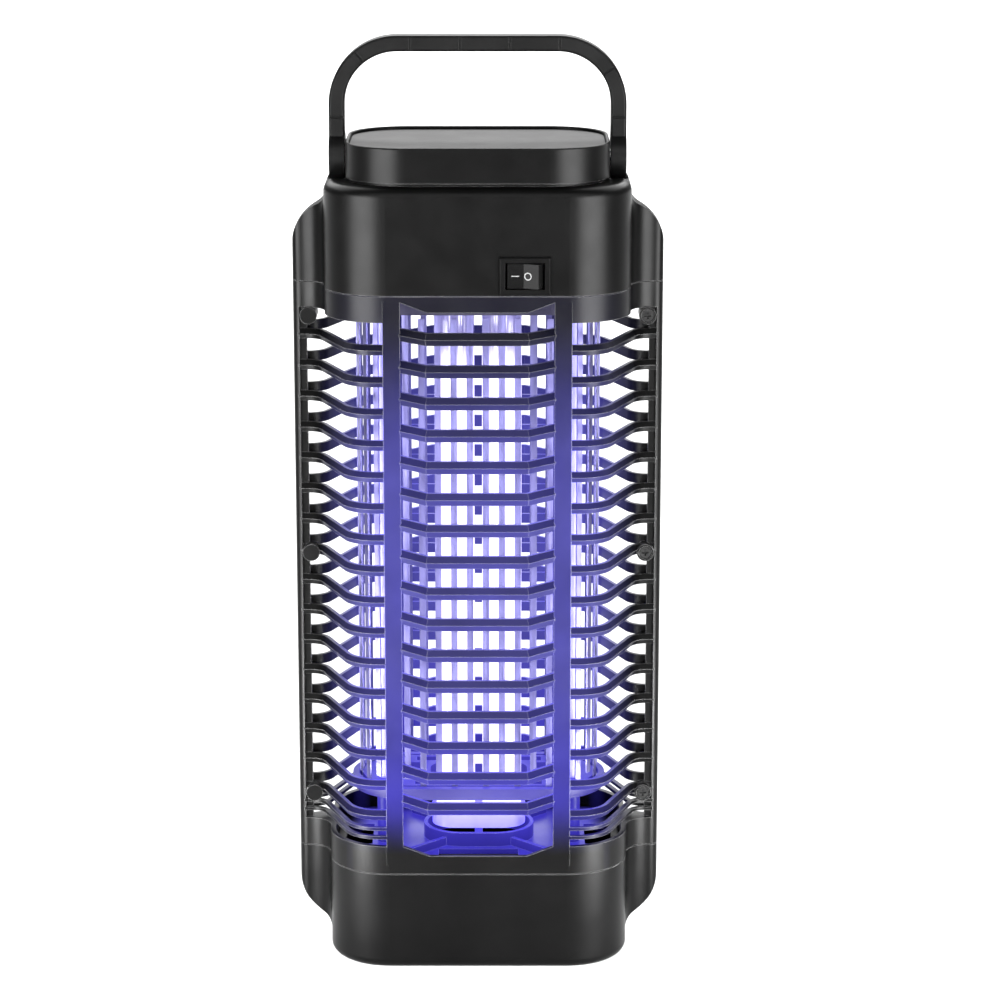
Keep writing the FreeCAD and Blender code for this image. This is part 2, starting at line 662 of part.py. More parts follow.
def make_upper_housing():
    body = new_body("upper_housing")
    outline = sketch(body, "Outline", "XY", d.housing_bottom)
    draw_plan(outline)
    pad(body, outline, d.housing_top - d.housing_bottom)
    trim_ears(body, d.top_ear_z, d.top_mid_z, d.top_blend_z, d.housing_top + d.over)
    round_edges(body, d.shoulder, at_level(d.housing_top))
    wide = sketch(body, "WideCavity", "XY", d.housing_bottom)
    draw_cavity(wide, d.wall)
    cut(body, wide, d.cavity_low_top - d.housing_bottom, back=True)
    narrow = sketch(body, "NarrowCavity", "XY", d.housing_bottom)
    draw_round_box(narrow, d.cavity_half, d.cavity_deep, d.corner - d.wall * 2)
    cut(body, narrow, d.cavity_top - d.housing_bottom, back=True)
    wells = sketch(body, "HandleWells", "XY", d.housing_top)
    for side in (1, -1):
        draw_box(wells, d.well_in * side, (d.body_half + d.over) * side, -d.well_half, d.well_half)
    cut(body, wells, d.housing_top - d.well_floor)
    window = sketch(body, "SwitchWindow", "XZ", d.deep_half + d.over)
    half, tall = d.switch_half + d.switch_play, d.switch_tall + d.switch_play
    draw_box(window, d.switch_x - half, d.switch_x + half, d.switch_z - tall, d.switch_z + tall)
    cut(body, window, d.wall + d.over * 2)
    inlet = sketch(body, "InletHole", "XZ", -(d.deep_half - d.wall - d.over))
    draw_circle(inlet, -d.inlet_x, d.inlet_z, d.inlet_hole)
    cut(body, inlet, d.wall + d.over * 2)
    corners = four(d.chassis_screw_x, d.chassis_screw_y)
    circles(body, "Bosses", "XY", d.chassis_top, corners, d.chassis_boss,
            d.cavity_top - d.chassis_top + d.root)
    circles(body, "BossPilots", "XY", d.chassis_top, corners, d.screw_pilot,
            d.chassis_pilot, back=True, hollow=True)
    circles(body, "CapHoles", "XY", d.cavity_top - d.over, four(d.cap_screw_x, d.cap_screw_y),
            d.screw_hole, d.housing_top - d.cavity_top + d.over * 2, back=True, hollow=True)


def make_top_cap():
    body = new_body("top_cap")
    foot = sketch(body, "Foot", "XY", d.housing_top)
    draw_round_box(foot, d.cap_half - d.cap_foot, d.cap_deep - d.cap_foot, d.cap_corner - d.cap_foot)
    pad(body, foot, d.cap_foot)
    shell = sketch(body, "Shell", "XY", d.housing_top + d.cap_foot)
    draw_round_box(shell, d.cap_half, d.cap_deep, d.cap_corner)
    pad(body, shell, d.cap_top - d.housing_top - d.cap_foot)
    recess = sketch(body, "Recess", "XY", d.cap_top)
    draw_round_box(recess, d.cap_half - d.cap_rim, d.cap_deep - d.cap_rim, d.cap_corner - d.cap_rim)
    cut(body, recess, d.cap_recess)
    round_edges(body, d.cap_edge, at_level(d.cap_top))
    hollow = sketch(body, "Hollow", "XY", d.housing_top)
    inset = d.cap_wall + d.cap_foot
    draw_round_box(hollow, d.cap_half - inset, d.cap_deep - inset, d.cap_corner - inset)
    cut(body, hollow, d.cap_roof - d.housing_top, back=True)
    for name, side in (("RightPinBlock", 1), ("LeftPinBlock", -1)):
        inner = (d.pin_in - d.over) * side
        outer = (d.cap_half - d.cap_wall) * side
        box(body, name, inner, outer, -d.pin_radius * 2, d.pin_radius * 2,
            d.housing_top, d.cap_roof + d.root)
    corners = four(d.cap_screw_x, d.cap_screw_y)
    circles(body, "Bosses", "XY", d.housing_top, corners, d.cap_boss,
            d.cap_roof - d.housing_top + d.root)
    circles(body, "Pilots", "XY", d.housing_top, corners, d.screw_pilot,
            d.cap_roof - d.housing_top - d.blind, back=True, hollow=True)
    for name, side in (("RightPinBore", 1), ("LeftPinBore", -1)):
        bore = sketch(body, name, "YZ", d.pin_in * side)
        draw_circle(bore, ZERO, d.pivot_z, d.pin_radius)
        cut(body, bore, d.cap_half - d.pin_in + d.over, back=side > 0)


def make_cap_inlay():
    body = new_body("cap_inlay")
    inset = d.cap_rim + d.inlay_gap
    plate = sketch(body, "Plate", "XY", d.cap_top - d.cap_recess)
    draw_round_box(plate, d.cap_half - inset, d.cap_deep - inset, d.cap_corner - inset)
    pad(body, plate, d.inlay_thick)


def make_handle():
    body = new_body("handle")
    inner_half = d.handle_half - d.handle_thick
    inner_top = d.handle_top - d.handle_thick
    inner_corner = d.handle_corner - d.handle_thick
    bend_x = d.handle_half - d.handle_corner
    bend_z = d.handle_top - d.handle_corner
    bail = sketch(body, "Bail", "XZ", -d.handle_wide / 2)
    draw(bail, [
        (d.handle_half, d.pivot_z), (d.handle_half, bend_z, d.handle_corner, 1),
        (bend_x, d.handle_top), (-bend_x, d.handle_top, d.handle_corner, 1),
        (-d.handle_half, bend_z), (-d.handle_half, d.pivot_z),
        (-inner_half, d.pivot_z), (-inner_half, bend_z, inner_corner, -1),
        (-bend_x, inner_top), (bend_x, inner_top, inner_corner, -1),
        (inner_half, bend_z), (inner_half, d.pivot_z)])
    pad(body, bail, d.handle_wide)
    for name, side in (("RightFoot", 1), ("LeftFoot", -1)):
        foot = sketch(body, name, "YZ", inner_half * side)
        draw_circle(foot, ZERO, d.pivot_z, d.hub_radius)
        pad(body, foot, d.handle_thick, back=side < 0)
    arms_z = (d.pivot_z + d.hub_radius).value
    round_edges(body, d.handle_bevel, lambda edge: edge.BoundBox.ZMin > arms_z
                and edge.BoundBox.YLength < 1e-3, "Chamfer")
    for name, side in (("RightBore", 1), ("LeftBore", -1)):
        bore = sketch(body, name, "YZ", inner_half * side)
        draw_circle(bore, ZERO, d.pivot_z, d.pin_hole)
        cut(body, bore, d.pin_hole_out - inner_half, back=side > 0)
    for name, face, back in (("FrontGrooves", d.handle_wide / 2, False),
                             ("RearGrooves", -d.handle_wide / 2, True)):
        grooves = sketch(body, name, "XZ", face)
        for step in (-1.5, -0.5, 0.5, 1.5):
            middle = d.groove_step * step + d.groove_shift
            draw_box(grooves, middle - d.groove_wide / 2, middle + d.groove_wide / 2,
                     inner_top - d.over, d.handle_top + d.over)
        for side in (1, -1):
            draw_box(grooves, (inner_half - d.over) * side, (d.handle_half + d.over) * side,
                     d.groove_arm_z - d.groove_wide / 2, d.groove_arm_z + d.groove_wide / 2)
        for angle, side in ((d.groove_left, -1), (d.groove_right, 1)):
            near = polar(inner_corner - d.over, angle)
            far = polar(d.handle_corner + d.over, angle)
            across = polar(d.groove_wide / 2, angle + 90)
            draw(grooves, [
                (bend_x * side + near[0] - across[0], bend_z + near[1] - across[1]),
                (bend_x * side + far[0] - across[0], bend_z + far[1] - across[1]),
                (bend_x * side + far[0] + across[0], bend_z + far[1] + across[1]),
                (bend_x * side + near[0] + across[0], bend_z + near[1] + across[1])])
        cut(body, grooves, d.groove_deep, back)


def make_handle_pins():
    body = new_body("handle_pins", separate=True)
    for name, side in (("RightPin", 1), ("LeftPin", -1)):
        circles(body, name, "YZ", d.pin_in * side, [(ZERO, d.pivot_z)], d.pin_radius,
                d.pin_out - d.pin_in, back=side < 0)


# ------------------------------------------------------------------- switch

def make_switch_body():
    body = new_body("switch_body")
    x, z = d.switch_x, d.switch_z
    bezel = sketch(body, "Bezel", "XZ", d.deep_half)
    draw_box(bezel, x - d.bezel_half, x + d.bezel_half, z - d.bezel_tall, z + d.bezel_tall)
    pad(body, bezel, d.bezel_thick)
    face = -(d.deep_half + d.bezel_thick).value
    round_edges(body, d.bezel_bevel, lambda edge: edge.BoundBox.YMax < face + 1e-3, "Chamfer")
    case = sketch(body, "Case", "XZ", d.deep_half)
    draw_box(case, x - d.switch_half, x + d.switch_half, z - d.switch_tall, z + d.switch_tall)
    pad(body, case, d.switch_deep, back=True)
    well = sketch(body, "Well", "XZ", d.deep_half + d.bezel_thick)
    draw_box(well, x - d.rocker_well, x + d.rocker_well,
             z - d.rocker_well_tall, z + d.rocker_well_tall)
    cut(body, well, d.rocker_well_deep)
    stub = sketch(body, "StubHoles", "XY", z - d.rocker_pin_half - d.slip)
    draw_circle(stub, x, -d.rocker_pivot, d.rocker_pin_hole)
    cut(body, stub, (d.rocker_pin_half + d.slip) * 2, back=True)


def rocker_point(x, y):
    """Point of the rocker, turned to its resting tilt."""
    tilt = -d.rocker_tilt.value
    turn = math.radians(tilt)
    ct, st = math.cos(turn), math.sin(turn)
    cos_text, sin_text = "cos(Sizes.rocker_tilt)", "(0 - sin(Sizes.rocker_tilt))"
    cosine, sine = Dim(ct, cos_text), Dim(st, sin_text)
    return (d.switch_x + x * cosine - y * sine, -d.rocker_pivot + x * sine + y * cosine)


def make_switch_rocker():
    body = new_body("switch_rocker")
    tip_x, tip_y = d.rocker_tip_x, d.rocker_tip_y
    back_x = Dim(math.sqrt(d.rocker_radius.value ** 2 - d.rocker_back.value ** 2),
                 "sqrt(Sizes.rocker_radius ^ 2 - Sizes.rocker_back ^ 2)")
    profile = sketch(body, "Profile", "XY", d.switch_z - d.rocker_tall)
    draw(profile, [
        rocker_point(-tip_x, -tip_y), rocker_point(ZERO, -d.rocker_front),
        rocker_point(tip_x, -tip_y) + (d.rocker_radius, 1),
        rocker_point(back_x, d.rocker_back),
        rocker_point(-back_x, d.rocker_back) + (d.rocker_radius, 1)])
    pad(body, profile, d.rocker_tall * 2)
    circles(body, "Stub", "XY", d.switch_z - d.rocker_pin_half, [(d.switch_x, -d.rocker_pivot)],
            d.rocker_pin, d.rocker_pin_half * 2)


def make_rocker_marks():
    body = new_body("rocker_marks", separate=True)
    facet = d.rocker_front * Dim(math.cos(math.radians(d.rocker_tilt.value)),
                                 "cos(Sizes.rocker_tilt)")
    face = d.rocker_pivot + facet
    line = sketch(body, "OnMark", "XZ", face)
    draw_box(line, d.mark_on_x - d.mark_bar, d.mark_on_x + d.mark_bar,
             d.switch_z - d.mark_line / 2, d.switch_z + d.mark_line / 2)
    pad(body, line, d.mark_thick)
    crease = rocker_point(ZERO, -d.rocker_front)
    ring = sketch(body, "OffMark", "XZ", -crease[1], turn=-2 * d.rocker_tilt.value,
                  shift=(crease[0], d.switch_z))
    draw_circle(ring, d.mark_off, ZERO, d.mark_ring)
    draw_circle(ring, d.mark_off, ZERO, d.mark_ring - d.mark_line)
    pad(body, ring, d.mark_thick)


def make_switch_tabs():
    body = new_body("switch_tabs", separate=True)
    tabs = sketch(body, "Tabs", "XZ", d.deep_half - d.switch_deep)
    for side in (1, -1):
        x = d.switch_x + d.tab_gap * side
        draw_box(tabs, x - d.tab_thick, x + d.tab_thick,
                 d.switch_z - d.tab_half, d.switch_z + d.tab_half)
    pad(body, tabs, d.tab_long, back=True)


def make_switch_leads():
    body = new_body("switch_leads", separate=True)
    start = d.deep_half - d.switch_deep - d.tab_long
    for name, side in (("Right", 1), ("Left", -1)):
        x = d.switch_x + d.tab_gap * side
        path = sketch(body, name + "Path", "YZ", x)
        draw(path, [(-start, d.switch_z), (-d.lead_y - d.lead_bend, d.switch_z, d.lead_bend, 1),
                    (-d.lead_y, d.switch_z + d.lead_bend), (-d.lead_y, d.board_low)], closed=False)
        profile = sketch(body, name + "Section", "XZ", start)
        draw_circle(profile, x, d.switch_z, d.lead_radius)
        sweep(body, name + "Lead", profile, path, 3)


# -------------------------------------------------------------- cable inlet

def make_inlet_grommet():
    body = new_body("inlet_grommet")
    centre = [(-d.inlet_x, d.inlet_z)]
    inner = -(d.deep_half - d.wall)
    outer = -d.deep_half
    circles(body, "Neck", "XZ", inner, centre, d.inlet_body, d.wall, back=True)
    circles(body, "InnerFlange", "XZ", inner, centre, d.inlet_flange, d.inlet_flange_thick)
    circles(body, "OuterFlange", "XZ", outer, centre, d.inlet_flange, d.inlet_flange_thick,
            back=True)
    face = (d.deep_half + d.inlet_flange_thick).value
    round_edges(body, d.inlet_round, lambda edge: edge.BoundBox.YMin > face - 1e-3)
    circles(body, "Bore", "XZ", outer - d.inlet_flange_thick, centre, d.inlet_bore,
            d.wall + d.inlet_flange_thick * 2 + d.over, back=True, hollow=True)


def make_terminal_block():
    body = new_body("terminal_block")
    box(body, "Block", -d.inlet_x - d.block_half, -d.inlet_x + d.block_half,
        d.block_front, d.block_back, d.chassis_top, d.block_top)
    holes = [(-d.inlet_x - d.mains_gap, d.inlet_z), (-d.inlet_x + d.mains_gap, d.inlet_z)]
    circles(body, "WireHoles", "XZ", -d.block_back, holes, d.lead_radius + d.slip,
            d.mains_in, back=True, hollow=True)
    clamps = [(-d.inlet_x - d.block_half / 2, (d.block_front + d.block_back) / 2),
              (-d.inlet_x + d.block_half / 2, (d.block_front + d.block_back) / 2)]
    circles(body, "ClampHoles", "XY", d.block_top, clamps, d.screw_pilot, d.clamp_deep,
            hollow=True)


def make_mains_leads():
    body = new_body("mains_leads", separate=True)
    holes = [(-d.inlet_x - d.mains_gap, d.inlet_z), (-d.inlet_x + d.mains_gap, d.inlet_z)]
    circles(body, "Leads", "XZ", -d.mains_end, holes, d.lead_radius,
            d.mains_end - d.block_back + d.mains_in)


# --------------------------------------------------------------------- cage

def slat_section(body, name, offset, front, low, tall, ridge):
    """Slat section with a ridge along its front."""
    drawing = sketch(body, name, "YZ", offset)
    back = -front + d.slat_deep
    draw(drawing, [
        (back, low), (-front + d.slat_under, low), (-front, low + ridge),
        (-front + d.slat_over, low + tall), (back, low + tall)])
    return drawing


def sweep(body, name, profile, path, edges):
    pipe = body.newObject("PartDesign::AdditivePipe", name)
    pipe.Profile = profile
    pipe.Spine = (path, ["Edge%d" % (i + 1) for i in range(edges)])
    pipe.Transition = "Right corner"
    return finish(body, pipe)


def row_up(body, name, feature):
    """Repeat a slat up the height of the cage."""
    pattern = body.newObject("PartDesign::LinearPattern", name)
    pattern.Originals = [feature]
    for axis in body.Origin.OriginFeatures:
        if axis.Role == "Z_Axis":
            pattern.Direction = (axis, [""])
    pattern.setExpression("Length", (d.pitch * (d.slat_count - 1)).text)
    pattern.setExpression("Occurrences", d.slat_count.text)
    return finish(body, pattern)


def bay_path(body, name, start, low, depth):
    """Centre line of a side slat from post to ear."""
    path = sketch(body, name, "XY", low)
    inset = depth / 2
    front = d.deep_half - inset
    side = d.ear_tip - inset
    bend, flare = d.slat_corner - inset, d.slat_flare + inset
    bend_in, bend_up = polar(bend, d.slat_turn)
    flare_in, flare_up = polar(flare, d.slat_turn)
    slope_x, slope_y = polar(dim(1), d.slat_turn)
    bend_end = (d.slat_bend_x + bend_up, bend - bend_in - front)
    flare_y = flare_in - flare - side
    flare_x = bend_end[0] + (flare_y - bend_end[1]) * slope_x / slope_y
    draw(path, [
        (start, -front), (d.slat_bend_x, -front, bend, 1),
        bend_end, (flare_x, flare_y, flare, -1),
        (flare_x + flare_up, -side), (d.rail_step + d.side_root, -side)], closed=False)
    return path


def make_grille(label, turned):
    """One half of the cage; the rear half is turned round, with its slats staggered."""
    middle_z = d.middle_slat_z - d.rear_middle_drop if turned else d.middle_slat_z
    side_z = d.bay_slat_z + d.rear_side_lift if turned else d.bay_slat_z
    body = new_body(label)
    flat = d.body_half - d.corner
    side = d.deep_half - d.corner
    lobe = d.ear_half - d.ear_tip
    inner_x = d.body_half - d.wall
    ring = sketch(body, "Ring", "XY", d.cage_bottom)
    draw(ring, [
        (ZERO, -d.deep_half), (flat, -d.deep_half, d.corner, 1), (d.body_half, -side),
        (d.body_half, -d.blend_gap, lobe - d.body_half, -1), (lobe, -d.ear_tip, d.ear_tip, 1),
        (d.ear_half, ZERO), (inner_x, ZERO), (inner_x, -side, d.corner - d.wall, -1),
        (flat, -(d.deep_half - d.wall)), (ZERO, -(d.deep_half - d.wall))])
    pad(body, ring, d.cage_top - d.cage_bottom)

    window = sketch(body, "Window", "XZ", d.deep_half + d.over)
    draw(window, [
        (-d.over, d.middle_low), (d.middle_flat, d.middle_low), (d.post_in, d.window_low),
        (d.rail_in, d.window_low), (d.rail_in, d.window_high), (d.post_in, d.window_high),
        (d.post_in, d.middle_high + d.middle_rise), (d.middle_flat, d.middle_high),
        (-d.over, d.middle_high)])
    cut(body, window, d.deep_half + d.over * 2)

    step = sketch(body, "RailStep", "XZ", d.ear_tip + d.over)
    draw_box(step, d.rail_in - d.over, d.rail_step, d.window_low, d.window_high)
    cut(body, step, d.ear_tip + d.over - d.flange)

    box(body, "Post", d.post_in, d.post_out, -d.deep_half, -(d.deep_half - d.post_deep),
        d.post_low, d.post_high)

    bow_y = d.deep_half + d.bow
    section = slat_section(body, "MiddleSection", 0, bow_y, middle_z, d.middle_tall, d.middle_ridge)
    path = sketch(body, "MiddlePath", "XY", middle_z)
    bow_line = bow_y - d.slat_deep / 2
    into = d.bow * d.middle_root / (d.post_in - d.middle_flat)
    draw(path, [
        (ZERO, -bow_line), (d.middle_flat, -bow_line),
        (d.post_in + d.middle_root, -(bow_line - d.bow - into))], closed=False)
    row_up(body, "MiddleSlats", sweep(body, "MiddleSlat", section, path, 2))

    start = d.rear_side_in if turned else d.side_in
    section = slat_section(body, "BaySection", start, d.deep_half, side_z, d.slat_tall, d.slat_ridge)
    path = bay_path(body, "BayPath", start, side_z, d.slat_deep)
    row_up(body, "BaySlats", sweep(body, "BaySlat", section, path, 5))

    for name, low in (("LowBar", d.bar_low_z), ("HighBar", d.bar_high_z)):
        section = sketch(body, name + "Section", "YZ", d.side_in)
        draw_box(section, -d.deep_half, -(d.deep_half - d.bar_deep), low, low + d.bar_tall)
        path = bay_path(body, name + "Path", d.side_in, low, d.bar_deep)
        sweep(body, name, section, path, 5)

    mirror = body.newObject("PartDesign::Mirrored", "OtherSide")
    mirror.TransformMode = 1
    for plane in body.Origin.OriginFeatures:
        if plane.Role == "YZ_Plane":
            mirror.MirrorPlane = (plane, [""])
    finish(body, mirror)

    levels = (d.boss_low_z, d.boss_mid_z, d.boss_high_z)
    right = [(d.boss_x, level) for level in levels]
    left = [(-d.boss_x, level) for level in levels]
    circles(body, "Bosses", "XZ", 0, right + left, d.boss_radius, d.boss_tall)
    circles(body, "Clearances", "XZ", d.boss_tall, right, d.screw_hole, d.boss_tall, hollow=True)
    circles(body, "HeadSeats", "XZ", d.boss_tall, right, d.screw_head + d.screw_head_play,
            d.screw_head_tall + d.screw_head_play, hollow=True)
    circles(body, "Pilots", "XZ", 0, left, d.screw_pilot, d.boss_tall - d.blind, back=True,
            hollow=True)
    if turned:
        body.Placement = FreeCAD.Placement(V(), FreeCAD.Rotation(AXES["Z"], 180))


def make_grille_screws(label, turned):
    levels = (d.boss_low_z, d.boss_mid_z, d.boss_high_z)
    seat = d.boss_tall - d.screw_head_tall - d.screw_head_play
    body = make_screws(label, "XZ", seat, [(d.boss_x, level) for level in levels],
                       seat + d.boss_tall - d.blind * 2)
    if turned:
        body.Placement = FreeCAD.Placement(V(), FreeCAD.Rotation(AXES["Z"], 180))


# --------------------------------------------------------- inner structure

def make_chassis_plate():
    body = new_body("chassis_plate")
    plate = sketch(body, "Plate", "XY", d.chassis_low)
    draw_cavity(plate, d.wall + d.inner_gap)
    pad(body, plate, d.chassis_top - d.chassis_low)
    opening = sketch(body, "LampOpening", "XY", d.chassis_top)
    draw_round_box(opening, d.lamp_hole_half, d.lamp_hole_wide, d.lamp_base_corner)
    thick = d.chassis_top - d.chassis_low + d.over
    cut(body, opening, thick)
    circles(body, "ScrewHoles", "XY", d.chassis_top,
            four(d.chassis_screw_x, d.chassis_screw_y) + four(d.pillar_x, d.pillar_y),
            d.screw_hole, thick, hollow=True)
    circles(body, "LeadHoles", "XY", d.chassis_top, [(d.hv_x, d.hv_y), (-d.hv_x, d.hv_y)],
            d.lead_radius + d.hv_clear, thick, hollow=True)
    corners = four(d.board_screw_x, d.board_screw_y)
    sockets = [(d.socket_post_x, ZERO), (-d.socket_post_x, ZERO)]
    foot = d.chassis_top - d.root
    circles(body, "BoardPosts", "XY", foot, corners, d.post_radius, d.board_low - foot)
    circles(body, "SocketPosts", "XY", foot, sockets, d.post_radius, d.lamp_base_top - foot)
    circles(body, "BoardPilots", "XY", d.board_low, corners, d.screw_pilot, d.board_pilot,
            hollow=True)
    circles(body, "SocketPilots", "XY", d.lamp_base_top, sockets, d.screw_pilot, d.socket_pilot,
            hollow=True)


def make_grid_plate(label, low, top, groove, groove_up):
    body = new_body(label)
    plate = sketch(body, "Plate", "XY", low)
    draw_stadium(plate, d.plate_straight, d.plate_round)
    pad(body, plate, top - low)
    opening = sketch(body, "LampOpening", "XY", top)
    draw_round_box(opening, d.lamp_hole_half, d.lamp_hole_wide, d.lamp_base_corner)
    through = top - low + d.over
    cut(body, opening, through)
    channel = sketch(body, "Groove", "XY", top if groove_up else low)
    draw_stadium(channel, d.grid_straight, d.grid_round + d.groove_half)
    draw_stadium(channel, d.grid_straight, d.grid_round - d.groove_half)
    cut(body, channel, groove, back=not groove_up)
    circles(body, "ScrewHoles", "XY", top, four(d.pillar_x, d.pillar_y), d.screw_hole,
            through, hollow=True)
    if groove_up:
        falls = sketch(body, "FallOpenings", "XY", top)
        for side in (1, -1):
            draw_box(falls, d.fall_side_in * side, d.fall_side_out * side,
                     -d.fall_side_half, d.fall_side_half)
            draw_box(falls, -d.fall_front_half, d.fall_front_half,
                     d.fall_front_in * side, d.fall_front_out * side)
        cut(body, falls, through)
    else:
        circles(body, "LeadHoles", "XY", top, [(d.hv_x, d.hv_y), (-d.hv_x, d.hv_y)],
                d.lead_radius + d.slip, top - d.hv_low, hollow=True)


def grid_place(index):
    """Position and direction of a strip on the path round the lamp."""
    straight, radius, count = d.grid_straight.value, d.grid_round.value, int(d.grid_count.value)
    length = 4 * straight + 2 * math.pi * radius
    along = (index + 0.5) * length / count
    if along < straight:
        return V(along, -radius, 0), 0.0
    along -= straight
    if along < math.pi * radius:
        turn = along / radius
        return V(straight + radius * math.sin(turn), -radius * math.cos(turn), 0), math.degrees(turn)
    along -= math.pi * radius
    if along < 2 * straight:
        return V(straight - along, radius, 0), 180.0
    along -= 2 * straight
    if along < math.pi * radius:
        turn = along / radius
        place = V(-straight - radius * math.sin(turn), radius * math.cos(turn), 0)
        return place, 180.0 + math.degrees(turn)
    along -= math.pi * radius
    return V(-straight + along, -radius, 0), 0.0


def make_comb(label, parity, strip_low, strip_top, ring_low):
    """Every second strip of the grid, carried by a ring."""
    ring = doc.addObject("Sketcher::SketchObject", label + "_ring_outline")
    draw_stadium(ring, d.grid_straight, d.grid_round + d.grid_thick / 2)
    draw_stadium(ring, d.grid_straight, d.grid_round - d.grid_thick / 2)
    ring.setExpression("Placement.Base.z", ring_low.text)
    band = doc.addObject("Part::Extrusion", label + "_ring")
    band.Base = ring
    band.Dir = AXES["Z"]
    band.Solid = True
    band.setExpression("LengthFwd", d.comb_ring.text)
    shapes = [band]
    for index in range(parity, int(d.grid_count.value), 2):
        strip = doc.addObject("Part::Box", "%s_strip_%02d" % (label, index))
        strip.setExpression("Length", d.grid_wide.text)
        strip.setExpression("Width", d.grid_thick.text)
        strip.setExpression("Height", (strip_top - strip_low).text)
        centre, turn = grid_place(index)
        rotation = FreeCAD.Rotation(AXES["Z"], turn)
        half = rotation.multVec(V(d.grid_wide.value / 2, d.grid_thick.value / 2, 0))
        strip.Placement = FreeCAD.Placement(
            V(centre.x, centre.y, strip_low.value) - half, rotation)
        shapes.append(strip)
    comb = doc.addObject("Part::MultiFuse", label)
    comb.Label = label
    comb.Shapes = shapes
    doc.recompute()
    nodes.append(comb)


def make_grid_pillars():
    body = new_body("grid_pillars", separate=True)
    corners = four(d.pillar_x, d.pillar_y)
    circles(body, "Pillars", "XY", d.lower_plate_top, corners, d.pillar_radius,
            d.upper_plate_low - d.lower_plate_top)
    circles(body, "LowPilots", "XY", d.lower_plate_top, corners, d.screw_pilot,
            d.pillar_pilot, back=True, hollow=True)
    circles(body, "TopPilots", "XY", d.upper_plate_low, corners, d.screw_pilot,
            d.pillar_pilot, hollow=True)


def make_lower_frame():
    body = new_body("lower_frame")
    plate = sketch(body, "Plate", "XY", d.frame_low)
    draw_cavity(plate, d.wall + d.inner_gap)
    pad(body, plate, d.frame_top - d.frame_low)
    skirt = sketch(body, "Skirt", "XY", d.skirt_low)
    draw_cavity(skirt, d.tray_wall + d.skirt_gap)
    draw_cavity(skirt, d.tray_wall + d.skirt_gap + d.skirt_wall)
    pad(body, skirt, d.frame_low - d.skirt_low)
    rim = sketch(body, "Rim", "XY", d.frame_low)
    draw_stadium(rim, d.mouth_straight, d.mouth_round + d.mouth_rim)
    pad(body, rim, d.mouth_top - d.frame_low)
    mouth = sketch(body, "Mouth", "XY", d.mouth_top)
    draw_stadium(mouth, d.mouth_straight, d.mouth_round)
    cut(body, mouth, d.mouth_top - d.frame_low + d.over)
    chutes = sketch(body, "Chutes", "XY", d.frame_top)
    for side in (1, -1):
        draw_box(chutes, d.chute_side_in * side, d.chute_side_out * side,
                 -d.chute_side_half, d.chute_side_half)
        draw_box(chutes, -d.chute_front_half, d.chute_front_half,
                 d.chute_front_in * side, d.chute_front_out * side)
    cut(body, chutes, d.frame_top - d.frame_low + d.over)
    reach = d.mouth_round + d.root
    box(body, "Bridge", -d.rib_half, d.rib_half, -reach, reach, d.frame_low, d.mouth_top)
    posts = four(d.pillar_x, d.pillar_y)
    foot = d.frame_top - d.root
    circles(body, "Posts", "XY", foot, posts, d.post_radius, d.lower_plate_low - foot)
    for index in range(4):
        angle = dim(45 + 90 * index)
        near, far = polar(d.brace_in, angle), polar(d.brace_out, angle)
        across = polar(d.brace_half, angle + 90)
        brace = sketch(body, "Brace%d" % index, "XY", foot)
        draw(brace, [
            (near[0] - across[0], near[1] - across[1]), (far[0] - across[0], far[1] - across[1]),
            (far[0] + across[0], far[1] + across[1]), (near[0] + across[0], near[1] + across[1])])
        pad(body, brace, d.brace_top - foot)
    circles(body, "ScrewHoles", "XY", d.lower_plate_low, posts, d.screw_hole,
            d.lower_plate_low - d.frame_low + d.over, hollow=True)


def make_collection_tray():
    body = new_body("collection_tray")
    outline = sketch(body, "Outline", "XY", 0)
    draw_plan(outline)
    pad(body, outline, d.tray_top)
    trim_ears(body, d.tray_ear_z, d.tray_mid_z, d.tray_blend_z, -d.over)
    round_edges(body, d.tray_edge, at_level(ZERO))
    hollow = sketch(body, "Hollow", "XY", d.tray_top)
    draw_cavity(hollow, d.tray_wall)
    cut(body, hollow, d.tray_top - d.tray_floor)


# --------------------------------------------------------------------- lamp

def make_lamp_tube():
    body = new_body("lamp_tube")
    legs = [(d.leg_x, ZERO), (-d.leg_x, ZERO)]
    bridge = sketch(body, "Bridge", "YZ", -d.leg_x)
    draw_circle(bridge, ZERO, d.bridge_z, d.bridge_radius)
    pad(body, bridge, d.leg_x * 2)
    circles(body, "Legs", "XY", d.leg_low, legs, d.leg_radius, d.lamp_base_low - d.leg_low)
    round_edges(body, d.leg_dome, at_level(d.leg_low))
    circles(body, "Bores", "XY", d.lamp_base_low, legs, d.leg_radius - d.glass_wall,
            d.lamp_base_low - d.leg_low - d.leg_dome - d.blind, hollow=True)


def make_lamp_base():
    body = new_body("lamp_base")
    base = sketch(body, "Base", "XY", d.lamp_base_low)
    draw_round_box(base, d.lamp_base_half, d.lamp_base_wide, d.lamp_base_corner)
    pad(body, base, d.lamp_base_top - d.lamp_base_low)


def lamp_pin_centres():
    return [(d.lamp_pin_step * step, ZERO) for step in (-1.5, -0.5, 0.5, 1.5)]


def make_lamp_pins():
    body = new_body("lamp_pins", separate=True)
    circles(body, "Pins", "XY", d.lamp_base_top, lamp_pin_centres(), d.lamp_pin_radius,
            d.lamp_pin_tall)


